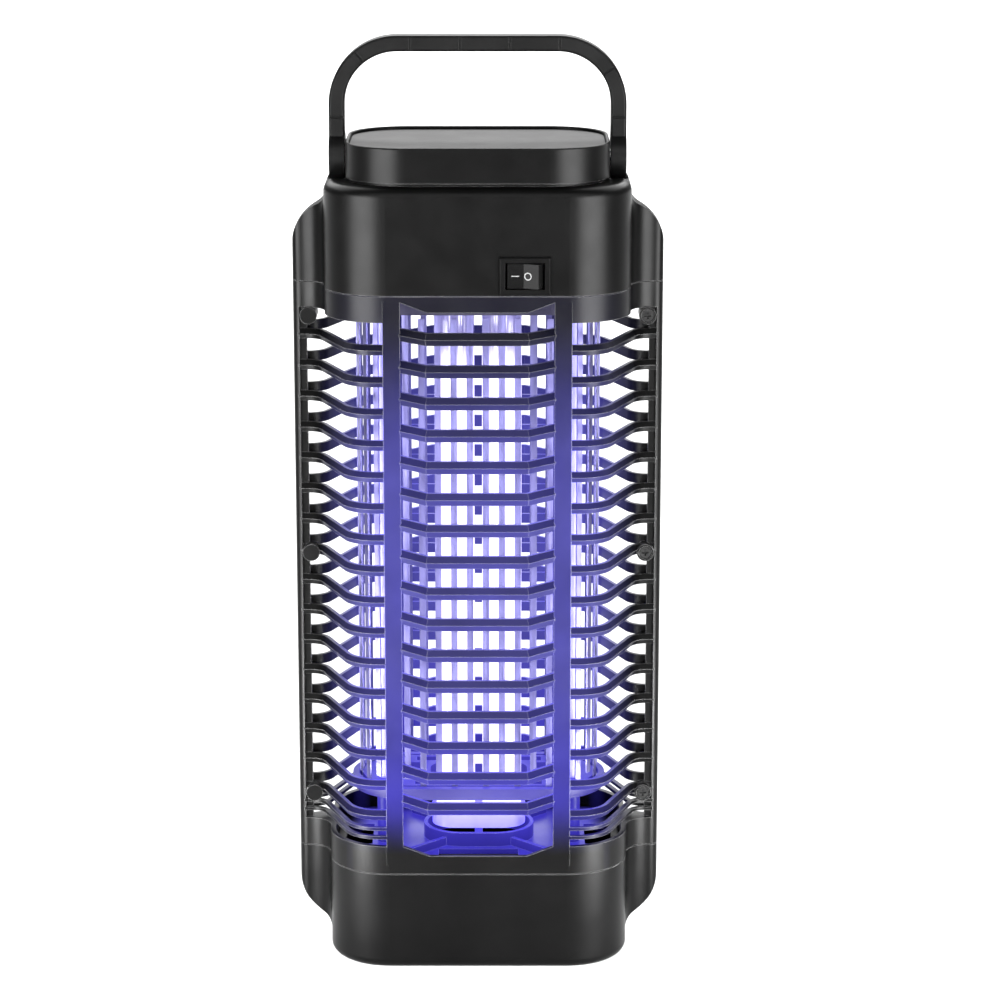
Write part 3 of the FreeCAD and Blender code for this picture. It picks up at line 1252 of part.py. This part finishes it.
def make_lamp_socket():
    body = new_body("lamp_socket")
    block = sketch(body, "Block", "XY", d.lamp_base_top)
    draw_round_box(block, d.socket_half, d.socket_wide, d.socket_corner)
    pad(body, block, d.socket_tall)
    box(body, "Wings", -d.socket_wing, d.socket_wing, -d.socket_wing_wide, d.socket_wing_wide,
        d.lamp_base_top, d.lamp_base_top + d.socket_wing_thick)
    circles(body, "PinHoles", "XY", d.lamp_base_top, lamp_pin_centres(), d.lamp_pin_hole,
            d.lamp_pin_tall + d.blind, back=True, hollow=True)
    circles(body, "ScrewHoles", "XY", d.lamp_base_top + d.socket_wing_thick,
            [(d.socket_post_x, ZERO), (-d.socket_post_x, ZERO)], d.screw_hole,
            d.socket_wing_thick + d.over, hollow=True)


def make_lamp_clip():
    body = new_body("lamp_clip")
    block = sketch(body, "Block", "XY", d.clip_low)
    draw_stadium(block, d.clip_half - d.clip_wide, d.clip_wide)
    pad(body, block, d.clip_top - d.clip_low)
    legs = [(d.leg_x, ZERO), (-d.leg_x, ZERO)]
    circles(body, "Cups", "XY", d.clip_top, legs, d.leg_radius + d.clip_play,
            d.clip_top - d.leg_low, hollow=True)
    circles(body, "Openings", "XY", d.clip_top, legs, d.clip_open,
            d.clip_top - d.clip_low + d.over, hollow=True)


# -------------------------------------------------------------- electronics

def make_driver_board():
    body = new_body("driver_board")
    box(body, "Board", -d.board_half, d.board_half, -d.board_wide, d.board_wide,
        d.board_low, d.board_low + d.board_thick)
    circles(body, "ScrewHoles", "XY", d.board_low + d.board_thick,
            four(d.board_screw_x, d.board_screw_y), d.screw_hole, d.board_thick + d.over,
            hollow=True)


def make_transformer():
    deck = d.board_low + d.board_thick
    core = new_body("transformer_core")
    frame = sketch(core, "Frame", "XZ", d.core_wide)
    draw_box(frame, -d.core_x - d.core_half, -d.core_x + d.core_half, deck, deck + d.core_tall)
    pad(core, frame, d.core_wide * 2, back=True)
    opening = sketch(core, "Opening", "XZ", d.core_wide)
    half = d.core_half - d.core_yoke
    draw_box(opening, -d.core_x - half, -d.core_x + half,
             deck + d.core_yoke, deck + d.core_tall - d.core_yoke)
    cut(core, opening, d.core_wide * 2 + d.over)
    winding = new_body("transformer_winding")
    coil = sketch(winding, "Coil", "XZ", d.winding_wide)
    half = half - d.winding_gap
    draw_box(coil, -d.core_x - half, -d.core_x + half,
             deck + d.core_yoke + d.winding_gap, deck + d.core_tall - d.core_yoke - d.winding_gap)
    pad(winding, coil, d.winding_wide * 2, back=True)


def make_board_parts():
    deck = d.board_low + d.board_thick
    films = new_body("multiplier_capacitors", separate=True)
    drawing = sketch(films, "Blocks", "XY", deck)
    for step in (-1, 0, 1):
        y = d.film_step * step
        draw_box(drawing, d.film_x - d.film_half, d.film_x + d.film_half,
                 y - d.film_wide, y + d.film_wide)
    pad(films, drawing, d.film_tall)
    diodes = new_body("multiplier_diodes", separate=True)
    rows = [(d.diode_step * step, deck + d.diode_radius) for step in (-1.5, -0.5, 0.5, 1.5)]
    circles(diodes, "Cases", "YZ", d.diode_x, rows, d.diode_radius, d.diode_long)
    fuse = new_body("fuse")
    circles(fuse, "Glass", "YZ", -d.fuse_half, [(d.fuse_y, deck + d.fuse_radius)],
            d.fuse_radius - d.fuse_step, d.fuse_half * 2)
    for name, start in (("LeftEnd", -d.fuse_half), ("RightEnd", d.fuse_half - d.fuse_end)):
        circles(fuse, name, "YZ", start, [(d.fuse_y, deck + d.fuse_radius)], d.fuse_radius,
                d.fuse_end)


def make_chassis_parts():
    coil = new_body("ballast_coil")
    centre = [(d.coil_x, ZERO)]
    top = d.chassis_top + d.coil_tall
    circles(coil, "Winding", "XY", d.chassis_top, centre, d.coil_radius, d.coil_tall)
    circles(coil, "LowFlange", "XY", d.chassis_top, centre, d.coil_flange, d.coil_flange_thick)
    circles(coil, "TopFlange", "XY", top - d.coil_flange_thick, centre, d.coil_flange,
            d.coil_flange_thick)
    can = new_body("smoothing_capacitor")
    circles(can, "Can", "XY", d.chassis_top, [(-d.coil_x, ZERO)], d.elko_radius, d.elko_tall)
    round_edges(can, d.elko_round, at_level(d.chassis_top + d.elko_tall))
    leads = new_body("hv_leads", separate=True)
    circles(leads, "Leads", "XY", d.hv_low, [(d.hv_x, d.hv_y), (-d.hv_x, d.hv_y)],
            d.lead_radius, d.board_low - d.hv_low)


def make_all_screws():
    plate = d.chassis_top - d.chassis_low
    make_screws("cap_screws", "XY", d.cavity_top, four(d.cap_screw_x, d.cap_screw_y),
                d.housing_top - d.cavity_top + d.cap_thread, heads_back=True)
    make_screws("chassis_screws", "XY", d.chassis_low, four(d.chassis_screw_x, d.chassis_screw_y),
                plate + d.chassis_pilot - d.blind, heads_back=True)
    make_screws("board_screws", "XY", d.board_low + d.board_thick,
                four(d.board_screw_x, d.board_screw_y), d.board_thick + d.board_pilot - d.blind)
    make_screws("socket_screws", "XY", d.lamp_base_top + d.socket_wing_thick,
                [(d.socket_post_x, ZERO), (-d.socket_post_x, ZERO)],
                d.socket_wing_thick + d.socket_pilot - d.blind)
    pillars = four(d.pillar_x, d.pillar_y)
    make_screws("pillar_screws_top", "XY", d.chassis_top, pillars,
                d.chassis_top - d.upper_plate_low + d.pillar_thread)
    make_screws("pillar_screws_bottom", "XY", d.frame_low, pillars,
                d.lower_plate_top - d.frame_low + d.pillar_thread, heads_back=True)


make_collection_tray()
make_lower_frame()
make_grille("grille_front", turned=False)
make_grille("grille_rear", turned=True)
make_grille_screws("grille_screws_front", turned=False)
make_grille_screws("grille_screws_rear", turned=True)
make_upper_housing()
make_top_cap()
make_cap_inlay()
make_handle()
make_handle_pins()
make_switch_body()
make_switch_rocker()
make_rocker_marks()
make_switch_tabs()
make_switch_leads()
make_inlet_grommet()
make_terminal_block()
make_mains_leads()
make_chassis_plate()
make_grid_plate("lower_grid_plate", d.lower_plate_low, d.lower_plate_top, d.lower_groove, True)
make_grid_plate("upper_grid_plate", d.upper_plate_low, d.chassis_low, d.upper_groove, False)
make_comb("grid_comb_lower", 0, d.lower_comb_low, d.lower_comb_top, d.lower_comb_low)
make_comb("grid_comb_upper", 1, d.upper_comb_low, d.upper_comb_top,
          d.upper_comb_top - d.comb_ring)
make_grid_pillars()
make_lamp_tube()
make_lamp_base()
make_lamp_pins()
make_lamp_socket()
make_lamp_clip()
make_driver_board()
make_transformer()
make_board_parts()
make_chassis_parts()
make_all_screws()
doc.recompute()

for item in doc.Objects:
    if "Invalid" in item.State or "Error" in item.State:
        raise RuntimeError(item.Label + ": " + ", ".join(item.State))

os.makedirs("parts", exist_ok=True)
for node in nodes:
    shape = node.Shape
    if shape.isNull() or not shape.isValid() or not shape.Solids:
        raise RuntimeError(node.Label + " has no valid shape")
    shape.exportStep("parts/%s.step" % node.Label)
    limits = shape.BoundBox
    print("%-22s solids %2d  volume %9.1f  x %.1f %.1f  y %.1f %.1f  z %.1f %.1f" % (
        node.Label, len(shape.Solids), shape.Volume, limits.XMin, limits.XMax,
        limits.YMin, limits.YMax, limits.ZMin, limits.ZMax))
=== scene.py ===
import json
import math

import bmesh
import bpy
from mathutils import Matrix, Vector

# Electric bug zapper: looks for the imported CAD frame. Metres, the same frame
# as the CAD: Z up, the front facing -Y.

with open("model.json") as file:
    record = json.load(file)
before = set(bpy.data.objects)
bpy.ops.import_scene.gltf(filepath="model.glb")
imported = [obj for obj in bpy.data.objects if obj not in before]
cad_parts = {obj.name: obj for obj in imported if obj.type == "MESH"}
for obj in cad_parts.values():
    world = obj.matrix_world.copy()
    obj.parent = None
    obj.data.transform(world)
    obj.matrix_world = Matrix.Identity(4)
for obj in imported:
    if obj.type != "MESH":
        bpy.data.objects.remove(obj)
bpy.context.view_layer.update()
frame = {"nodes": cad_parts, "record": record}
NODES = frame["nodes"]

# Colours of the glow painted onto the plastic around the lamp: deep violet low down, violet higher
# up.
PAINTED_GLOW = (0.072, 0.066, 0.39, 1)
PAINTED_GLOW_DEEP = (0.046, 0.036, 0.50, 1)
LAMP_LIGHT = (1.25, 1.18, 1.9, 1)
LAMP_END = (0.05, 0.045, 0.15, 1)

# Heights, half widths and half depths in metres between which the glow painted on the plastic around
# the lamp fades.
LAMP_TOP = (0.250, 0.266)
GLOW_SIDE = (0.044, 0.068)
GLOW_FOOT = (0.050, 0.080)
GLOW_DEEP = (0.065, 0.125)
GLOW_HEAD = (0.205, 0.282)
WELL_DEPTH = (0.029, 0.037)
WELL_WIDTH = (0.048, 0.056)
WELL_FOOT = (0.030, 0.055)

# Half depths of the handle's groove floors and of its outer faces.
GROOVE_FLOOR = 0.0051
HANDLE_FACE = 0.0053


# ----------------------------------------------------------- material toolbox

def grey(value):
    return (value, value, value, 1)


class Finish:
    """A procedural material: one Principled shader and the pattern nodes behind it."""

    def __init__(self, name, **sockets):
        self.material = bpy.data.materials.new(name)
        self.material.use_nodes = True
        self.tree = self.material.node_tree
        self.shader = self.tree.nodes["Principled BSDF"]
        coordinates = self.tree.nodes.new("ShaderNodeTexCoord")
        self.place = coordinates.outputs["Object"]
        self.facing = coordinates.outputs["Normal"]
        self.set(**sockets)

    def set(self, **sockets):
        for name, value in sockets.items():
            self.feed(self.shader.inputs[name.replace("_", " ")], value)

    def feed(self, socket, value):
        if isinstance(value, bpy.types.NodeSocket):
            self.tree.links.new(value, socket)
        else:
            socket.default_value = value

    def node(self, kind, inputs, **settings):
        made = self.tree.nodes.new("ShaderNode" + kind)
        for name, value in settings.items():
            setattr(made, name, value)
        for key, value in inputs.items():
            self.feed(made.inputs[key], value)
        return made

    def combine(self, kind, a, b=0.0):
        return self.node("Math", {0: a, 1: b}, operation=kind).outputs[0]

    def times(self, *values):
        product = values[0]
        for value in values[1:]:
            product = self.combine("MULTIPLY", product, value)
        return product

    def size_of(self, value):
        return self.combine("ABSOLUTE", value)

    def axes(self, vector):
        return self.node("SeparateXYZ", {0: vector}).outputs

    def stretched(self, scale):
        return self.node("Mapping", {"Vector": self.place, "Scale": scale}).outputs[0]

    def noise(self, scale, detail=2.0, stretch=None):
        where = self.stretched(stretch) if stretch else self.place
        return self.node("TexNoise", {"Vector": where, "Scale": scale, "Detail": detail}).outputs[0]

    def span(self, value, low, high, to_low=0.0, to_high=1.0, smooth=False):
        kind = "SMOOTHSTEP" if smooth else "LINEAR"
        inputs = {0: value, 1: low, 2: high, 3: to_low, 4: to_high}
        return self.node("MapRange", inputs, interpolation_type=kind).outputs[0]

    def blend(self, factor, a, b, kind="MIX"):
        made = self.tree.nodes.new("ShaderNodeMix")
        made.data_type = "RGBA"
        made.blend_type = kind
        self.feed(made.inputs[0], factor)
        self.feed(made.inputs[6], a)
        self.feed(made.inputs[7], b)
        return made.outputs[2]

    def edges(self, radius):
        """1 on sharp edges and 0 on flat faces, from the rounded and the true normal."""
        true = self.tree.nodes.new("ShaderNodeNewGeometry").outputs["Normal"]
        round_ = self.node("Bevel", {"Radius": radius}, samples=4).outputs[0]
        dot = self.node("VectorMath", {0: true, 1: round_}, operation="DOT_PRODUCT").outputs["Value"]
        return self.span(dot, 0.99, 0.80)

    def relief(self, height, depth, radius=0.0):
        """Bump of the given depth in metres, over edges rounded by radius."""
        inputs = {"Height": height, "Distance": depth, "Strength": 1.0}
        if radius:
            inputs["Normal"] = self.node("Bevel", {"Radius": radius}, samples=4).outputs[0]
        self.set(Normal=self.node("Bump", inputs).outputs[0])


# ------------------------------------------------------------------ materials

def moulded(name, shade, rough, grain=2400, depth=0.00002, spread=0.25, edge=0.0004, painted_edge_line=None,
            **sockets):
    """Moulded plastic: faint cloudy shade, uneven gloss, fine spark-eroded grain, soft edges, and
    optionally a painted pale highlight line along sharp edges.
    """
    f = Finish(name, **sockets)
    cloud = f.noise(28, 3)
    dark = tuple(c * (1 - spread) for c in shade[:3]) + (1,)
    light = tuple(c * (1 + spread) for c in shade[:3]) + (1,)
    skin = f.blend(f.span(cloud, 0.35, 0.65), dark, light)
    # Painted highlight: a pale line along sharp edges, where a bevel would catch the light.
    if painted_edge_line:
        skin = f.blend(f.edges(edge), skin, grey(painted_edge_line))
    f.set(Base_Color=skin)
    smear = f.noise(70, 4)
    f.set(Roughness=f.span(smear, 0.3, 0.7, rough * 0.88, rough * 1.12))
    f.relief(f.noise(grain, 3), depth, edge)
    return f


def paint_groove_shade(f):
    """Paints shade into the bevels and the grip grooves, which face front or back below the outer
    face.
    """
    deep = f.axes(f.place)[1]
    ahead = f.axes(f.facing)[1]
    flat = f.span(f.size_of(ahead), 0.85, 0.95)
    below = f.span(f.size_of(deep), GROOVE_FLOOR, HANDLE_FACE, 1, 0)
    mask = f.combine("MAXIMUM", f.times(flat, below), f.edges(0.0006))
    skin = f.shader.inputs["Base Color"].links[0].from_socket
    # Painted shade: the grooves and the edges are coloured near black.
    f.set(Base_Color=f.blend(mask, skin, grey(0.0004)))
    return f


def painted_glow(f, strength):
    """Painted glow: emission on the plastic near the lamp in place of the lamp's light falling on
    it, fading to the ears and the collars.
    """
    across, depth, height = f.axes(f.place)
    side = f.span(f.size_of(across), *GLOW_SIDE, 1, 0, smooth=True)
    inner_y = f.span(f.size_of(depth), *WELL_DEPTH, 1, 0)
    inner_x = f.span(f.size_of(across), *WELL_WIDTH, 1, 0)
    well = f.times(inner_x, inner_y, f.span(height, *WELL_FOOT))
    low = f.combine("MAXIMUM", well, f.span(height, *GLOW_FOOT, smooth=True))
    high = f.span(height, *GLOW_HEAD, 1, 0.04, smooth=True)

    # Painted shading by facing: undersides and upward slopes glow dimmer, level tops glow brightest.
    up = f.axes(f.facing)[2]
    under = f.span(up, -0.9, -0.5, 0.25, 1.0)
    upper = f.span(up, 0.1, 0.5, 1.0, 0.42)
    ledge = f.span(up, 0.8, 0.98, 0.0, 1.2)
    facing_shade = f.combine("ADD", f.times(under, upper), ledge)

    patch = f.span(f.noise(45, 2), 0.3, 0.7, 0.85, 1.15)
    # Painted highlight: the glow is brighter on sharp edges.
    edge_glint = f.span(f.edges(0.0004), 0, 1, 1.0, 1.7)
    amount = f.times(side, low, high, facing_shade, patch, edge_glint, strength)
    hue = f.blend(f.span(height, *GLOW_DEEP), PAINTED_GLOW_DEEP, PAINTED_GLOW)
    f.set(Emission_Color=hue, Emission_Strength=amount)
    return f


def metal(name, shade, rough, stretch, depth=0.000006, edge=0.0, **sockets):
    """Metal with drawn or turned marks along one way."""
    f = Finish(name, Metallic=1.0, **sockets)
    marks = f.noise(900, 4, stretch)
    cloud = f.noise(60, 2)
    dull = tuple(c * 0.78 for c in shade[:3]) + (1,)
    f.set(Base_Color=f.blend(f.span(cloud, 0.35, 0.65), dull, shade))
    f.set(Roughness=f.span(marks, 0.3, 0.7, rough * 0.8, rough * 1.25))
    f.relief(marks, depth, edge)
    return f


def lamp_glass():
    f = Finish("lamp_glass", Roughness=0.12, IOR=1.5)
    height = f.axes(f.place)[2]
    powder = f.noise(900, 3)
    f.set(Base_Color=f.blend(powder, (0.10, 0.09, 0.20, 1), (0.13, 0.12, 0.24, 1)))
    lit = f.span(height, *LAMP_TOP, 1, 0, smooth=True)
    patch = f.span(f.noise(40, 2), 0.3, 0.7, 0.94, 1.06)
    f.set(Emission_Color=f.blend(lit, LAMP_END, LAMP_LIGHT), Emission_Strength=patch)
    f.relief(powder, 0.000008)
    return f


def clear(name, tint, rough, light=grey(0.92), through=0.85):
    f = Finish(name, IOR=1.49, Transmission_Weight=through)
    cloud = f.noise(80, 3)
    f.set(Base_Color=f.blend(cloud, tint, light))
    f.set(Roughness=f.span(cloud, 0.3, 0.7, rough, rough * 2))
    f.relief(f.noise(1500, 2), 0.00001)
    return f


def wound(name, light, dark, pitch, rough):
    """Wire or tape wound in turns that follow the height."""
    f = Finish(name, Roughness=rough)
    wave = f.node("TexWave", {"Vector": f.place, "Scale": 1 / pitch, "Distortion": 0.6,
                              "Detail": 2.0}, wave_type="BANDS", bands_direction="Z").outputs[1]
    f.set(Base_Color=f.blend(wave, dark, light))
    f.relief(wave, 0.0001)
    return f


def board():
    f = Finish("board_green", Roughness=0.38)
    weave = f.node("TexChecker", {"Vector": f.place, "Scale": 900.0}).outputs[1]
    tracks = f.span(f.noise(260, 1, (1, 0.25, 1)), 0.50, 0.53)
    mask = f.blend(f.span(weave, 0, 1, 0.3, 0.7), (0.010, 0.085, 0.030, 1), (0.014, 0.11, 0.042, 1))
    f.set(Base_Color=f.blend(tracks, mask, (0.022, 0.17, 0.06, 1)))
    f.relief(tracks, 0.00003, 0.0002)
    return f


# cage_black, plate_grey and pillar_clear carry the painted lamp glow.
FINISHES = {
    "shell_black": moulded("shell_black", grey(0.0006), 0.34, painted_edge_line=0.08, IOR=1.157),
    "cage_black": painted_glow(moulded("cage_black", grey(0.0006), 0.34, painted_edge_line=0.08, IOR=1.175), 1.0),
    "handle_black": paint_groove_shade(moulded("handle_black", grey(0.0012), 0.36, IOR=1.20)),
    "inlay_grey": moulded("inlay_grey", grey(0.10), 0.45, spread=0.05, IOR=1.06),
    "switch_black": moulded("switch_black", grey(0.002), 0.30, grain=3500, depth=0.000006,
                            IOR=1.095),
    "mark_white": moulded("mark_white", grey(0.07), 0.5, grain=5000, depth=0.00001, edge=0),
    # Painted light: the steel's violet tint stands in for the lamp's light on bare grey steel.
    "grid_steel": metal("grid_steel", (0.20, 0.19, 0.42, 1), 0.36, (1, 1, 0.04)),
    "lamp_glass": lamp_glass(),
    "lamp_cap_white": moulded("lamp_cap_white", (0.72, 0.71, 0.68, 1), 0.42),
    "plate_grey": painted_glow(moulded("plate_grey", (0.010, 0.009, 0.020, 1), 0.5, IOR=1.3), 0.8),
    "insulator_white": moulded("insulator_white", (0.70, 0.70, 0.69, 1), 0.40),
    "pillar_clear": painted_glow(clear("pillar_clear", (0.08, 0.075, 0.32, 1), 0.28,
                                  (0.20, 0.19, 0.55, 1), 0.12), 2.4),
    "pin_brass": metal("pin_brass", (0.72, 0.52, 0.22, 1), 0.30, (1, 1, 0.05)),
    "screw_black": metal("screw_black", grey(0.018), 0.38, (1, 0.05, 1)),
    "screw_zinc": metal("screw_zinc", (0.60, 0.60, 0.62, 1), 0.33, (1, 1, 0.05)),
    "pin_steel": metal("pin_steel", (0.62, 0.62, 0.64, 1), 0.25, (0.05, 1, 1)),
    "rubber_black": moulded("rubber_black", grey(0.012), 0.62, grain=1500, depth=0.00003),
    "board_green": board(),
    "ferrite": moulded("ferrite", (0.030, 0.028, 0.028, 1), 0.68, grain=1800, depth=0.00004),
    "winding_yellow": wound("winding_yellow", (0.68, 0.47, 0.06, 1), (0.40, 0.26, 0.03, 1),
                            0.012, 0.5),
    "film_red": moulded("film_red", (0.36, 0.035, 0.02, 1), 0.32),
    "diode_black": moulded("diode_black", grey(0.015), 0.36),
    "fuse_glass": clear("fuse_glass", (0.86, 0.90, 0.90, 1), 0.05),
    "coil_copper": wound("coil_copper", (0.62, 0.26, 0.10, 1), (0.26, 0.09, 0.03, 1), 0.004, 0.3),
    "can_aluminium": metal("can_aluminium", (0.62, 0.63, 0.66, 1), 0.30, (1, 1, 0.05)),
    "lead_red": moulded("lead_red", (0.42, 0.02, 0.015, 1), 0.45),
    "lead_blue": moulded("lead_blue", (0.02, 0.07, 0.32, 1), 0.45),
    "terminal_white": moulded("terminal_white", (0.66, 0.66, 0.62, 1), 0.42),
}

for part in frame["record"]["subparts"]:
    shown = NODES[part["node"]]
    shown.data.materials.clear()
    shown.data.materials.append(FINISHES[part["material_slot"]].material)


# ---------------------------------------------------------------------- stage

FLOOR_SIZE = 30

paper = Finish("paper", Roughness=0.9, Specular_IOR_Level=0.1)
paper.set(Base_Color=paper.blend(paper.noise(3, 2), grey(0.48), grey(0.51)))
sheet = bmesh.new()
bmesh.ops.create_grid(sheet, x_segments=8, y_segments=8, size=FLOOR_SIZE / 2)
floor_mesh = bpy.data.meshes.new("floor")
sheet.to_mesh(floor_mesh)
sheet.free()
floor_mesh.materials.append(paper.material)
floor = bpy.data.objects.new("floor", floor_mesh)
bpy.context.scene.collection.objects.link(floor)


def softbox(name, at, aim, wide, tall, power, spread=180):
    """Rectangular lamp; a small spread, in degrees, keeps its light off the floor."""
    light = bpy.data.lights.new(name, "AREA")
    light.shape = "RECTANGLE"
    light.size = wide
    light.size_y = tall
    light.energy = power
    light.spread = math.radians(spread)
    made = bpy.data.objects.new(name, light)
    made.location = at
    made.rotation_euler = (Vector(aim) - Vector(at)).to_track_quat("-Z", "Y").to_euler()
    bpy.context.scene.collection.objects.link(made)


# Pairs of lamps, given for the right-hand side: name, place, aim, width, height, power, spread.
SIDE_LAMPS = (
    ("box", (0.41, -0.40, 0.20), (0, 0, 0.25), 0.46, 0.44, 3.2, 70),
    ("fill", (0.27, -0.50, 0.20), (0, 0, 0.25), 0.20, 0.44, 0.45, 70),
    ("low", (0.20, -0.15, 0.04), (0.06, -0.045, 0.02), 0.10, 0.07, 2.7, 180),
)
for kind, (x, y, z), (to_x, to_y, to_z), *shape in SIDE_LAMPS:
    for hand, side in (("left", -1), ("right", 1)):
        softbox(hand + "_" + kind, (side * x, y, z), (side * to_x, to_y, to_z), *shape)

CEILING_HEIGHT = 3.0
for name, y, power in (("ceiling", 5.5, 1500), ("front_ceiling", -7.5, 900)):
    softbox(name, (0, y, CEILING_HEIGHT), (0, y, 0), 9.0, 10.0, power)

WORLD_STRENGTH = 0.25
world = bpy.data.worlds.new("studio")
world.use_nodes = True
sky = world.node_tree.nodes["Background"]
sky.inputs["Color"].default_value = grey(1)
sky.inputs["Strength"].default_value = WORLD_STRENGTH
bpy.context.scene.world = world
bpy.context.scene.view_settings.view_transform = "Standard"


# --------------------------------------------------------------------- camera

LENS_MM = 118.2
SENSOR_MM = 36
LOOKS_DOWN = 0.232
CAMERA_AT = (0.00916, -1.3492, 0.5127)

lens = bpy.data.cameras.new("camera")
lens.sensor_width = SENSOR_MM
lens.lens = LENS_MM
lens.clip_end = 100
camera = bpy.data.objects.new("camera", lens)
camera.location = CAMERA_AT
camera.rotation_euler = (math.pi / 2 - LOOKS_DOWN, 0, 0)
bpy.context.scene.collection.objects.link(camera)
bpy.context.scene.camera = camera

bpy.context.view_layer.update()
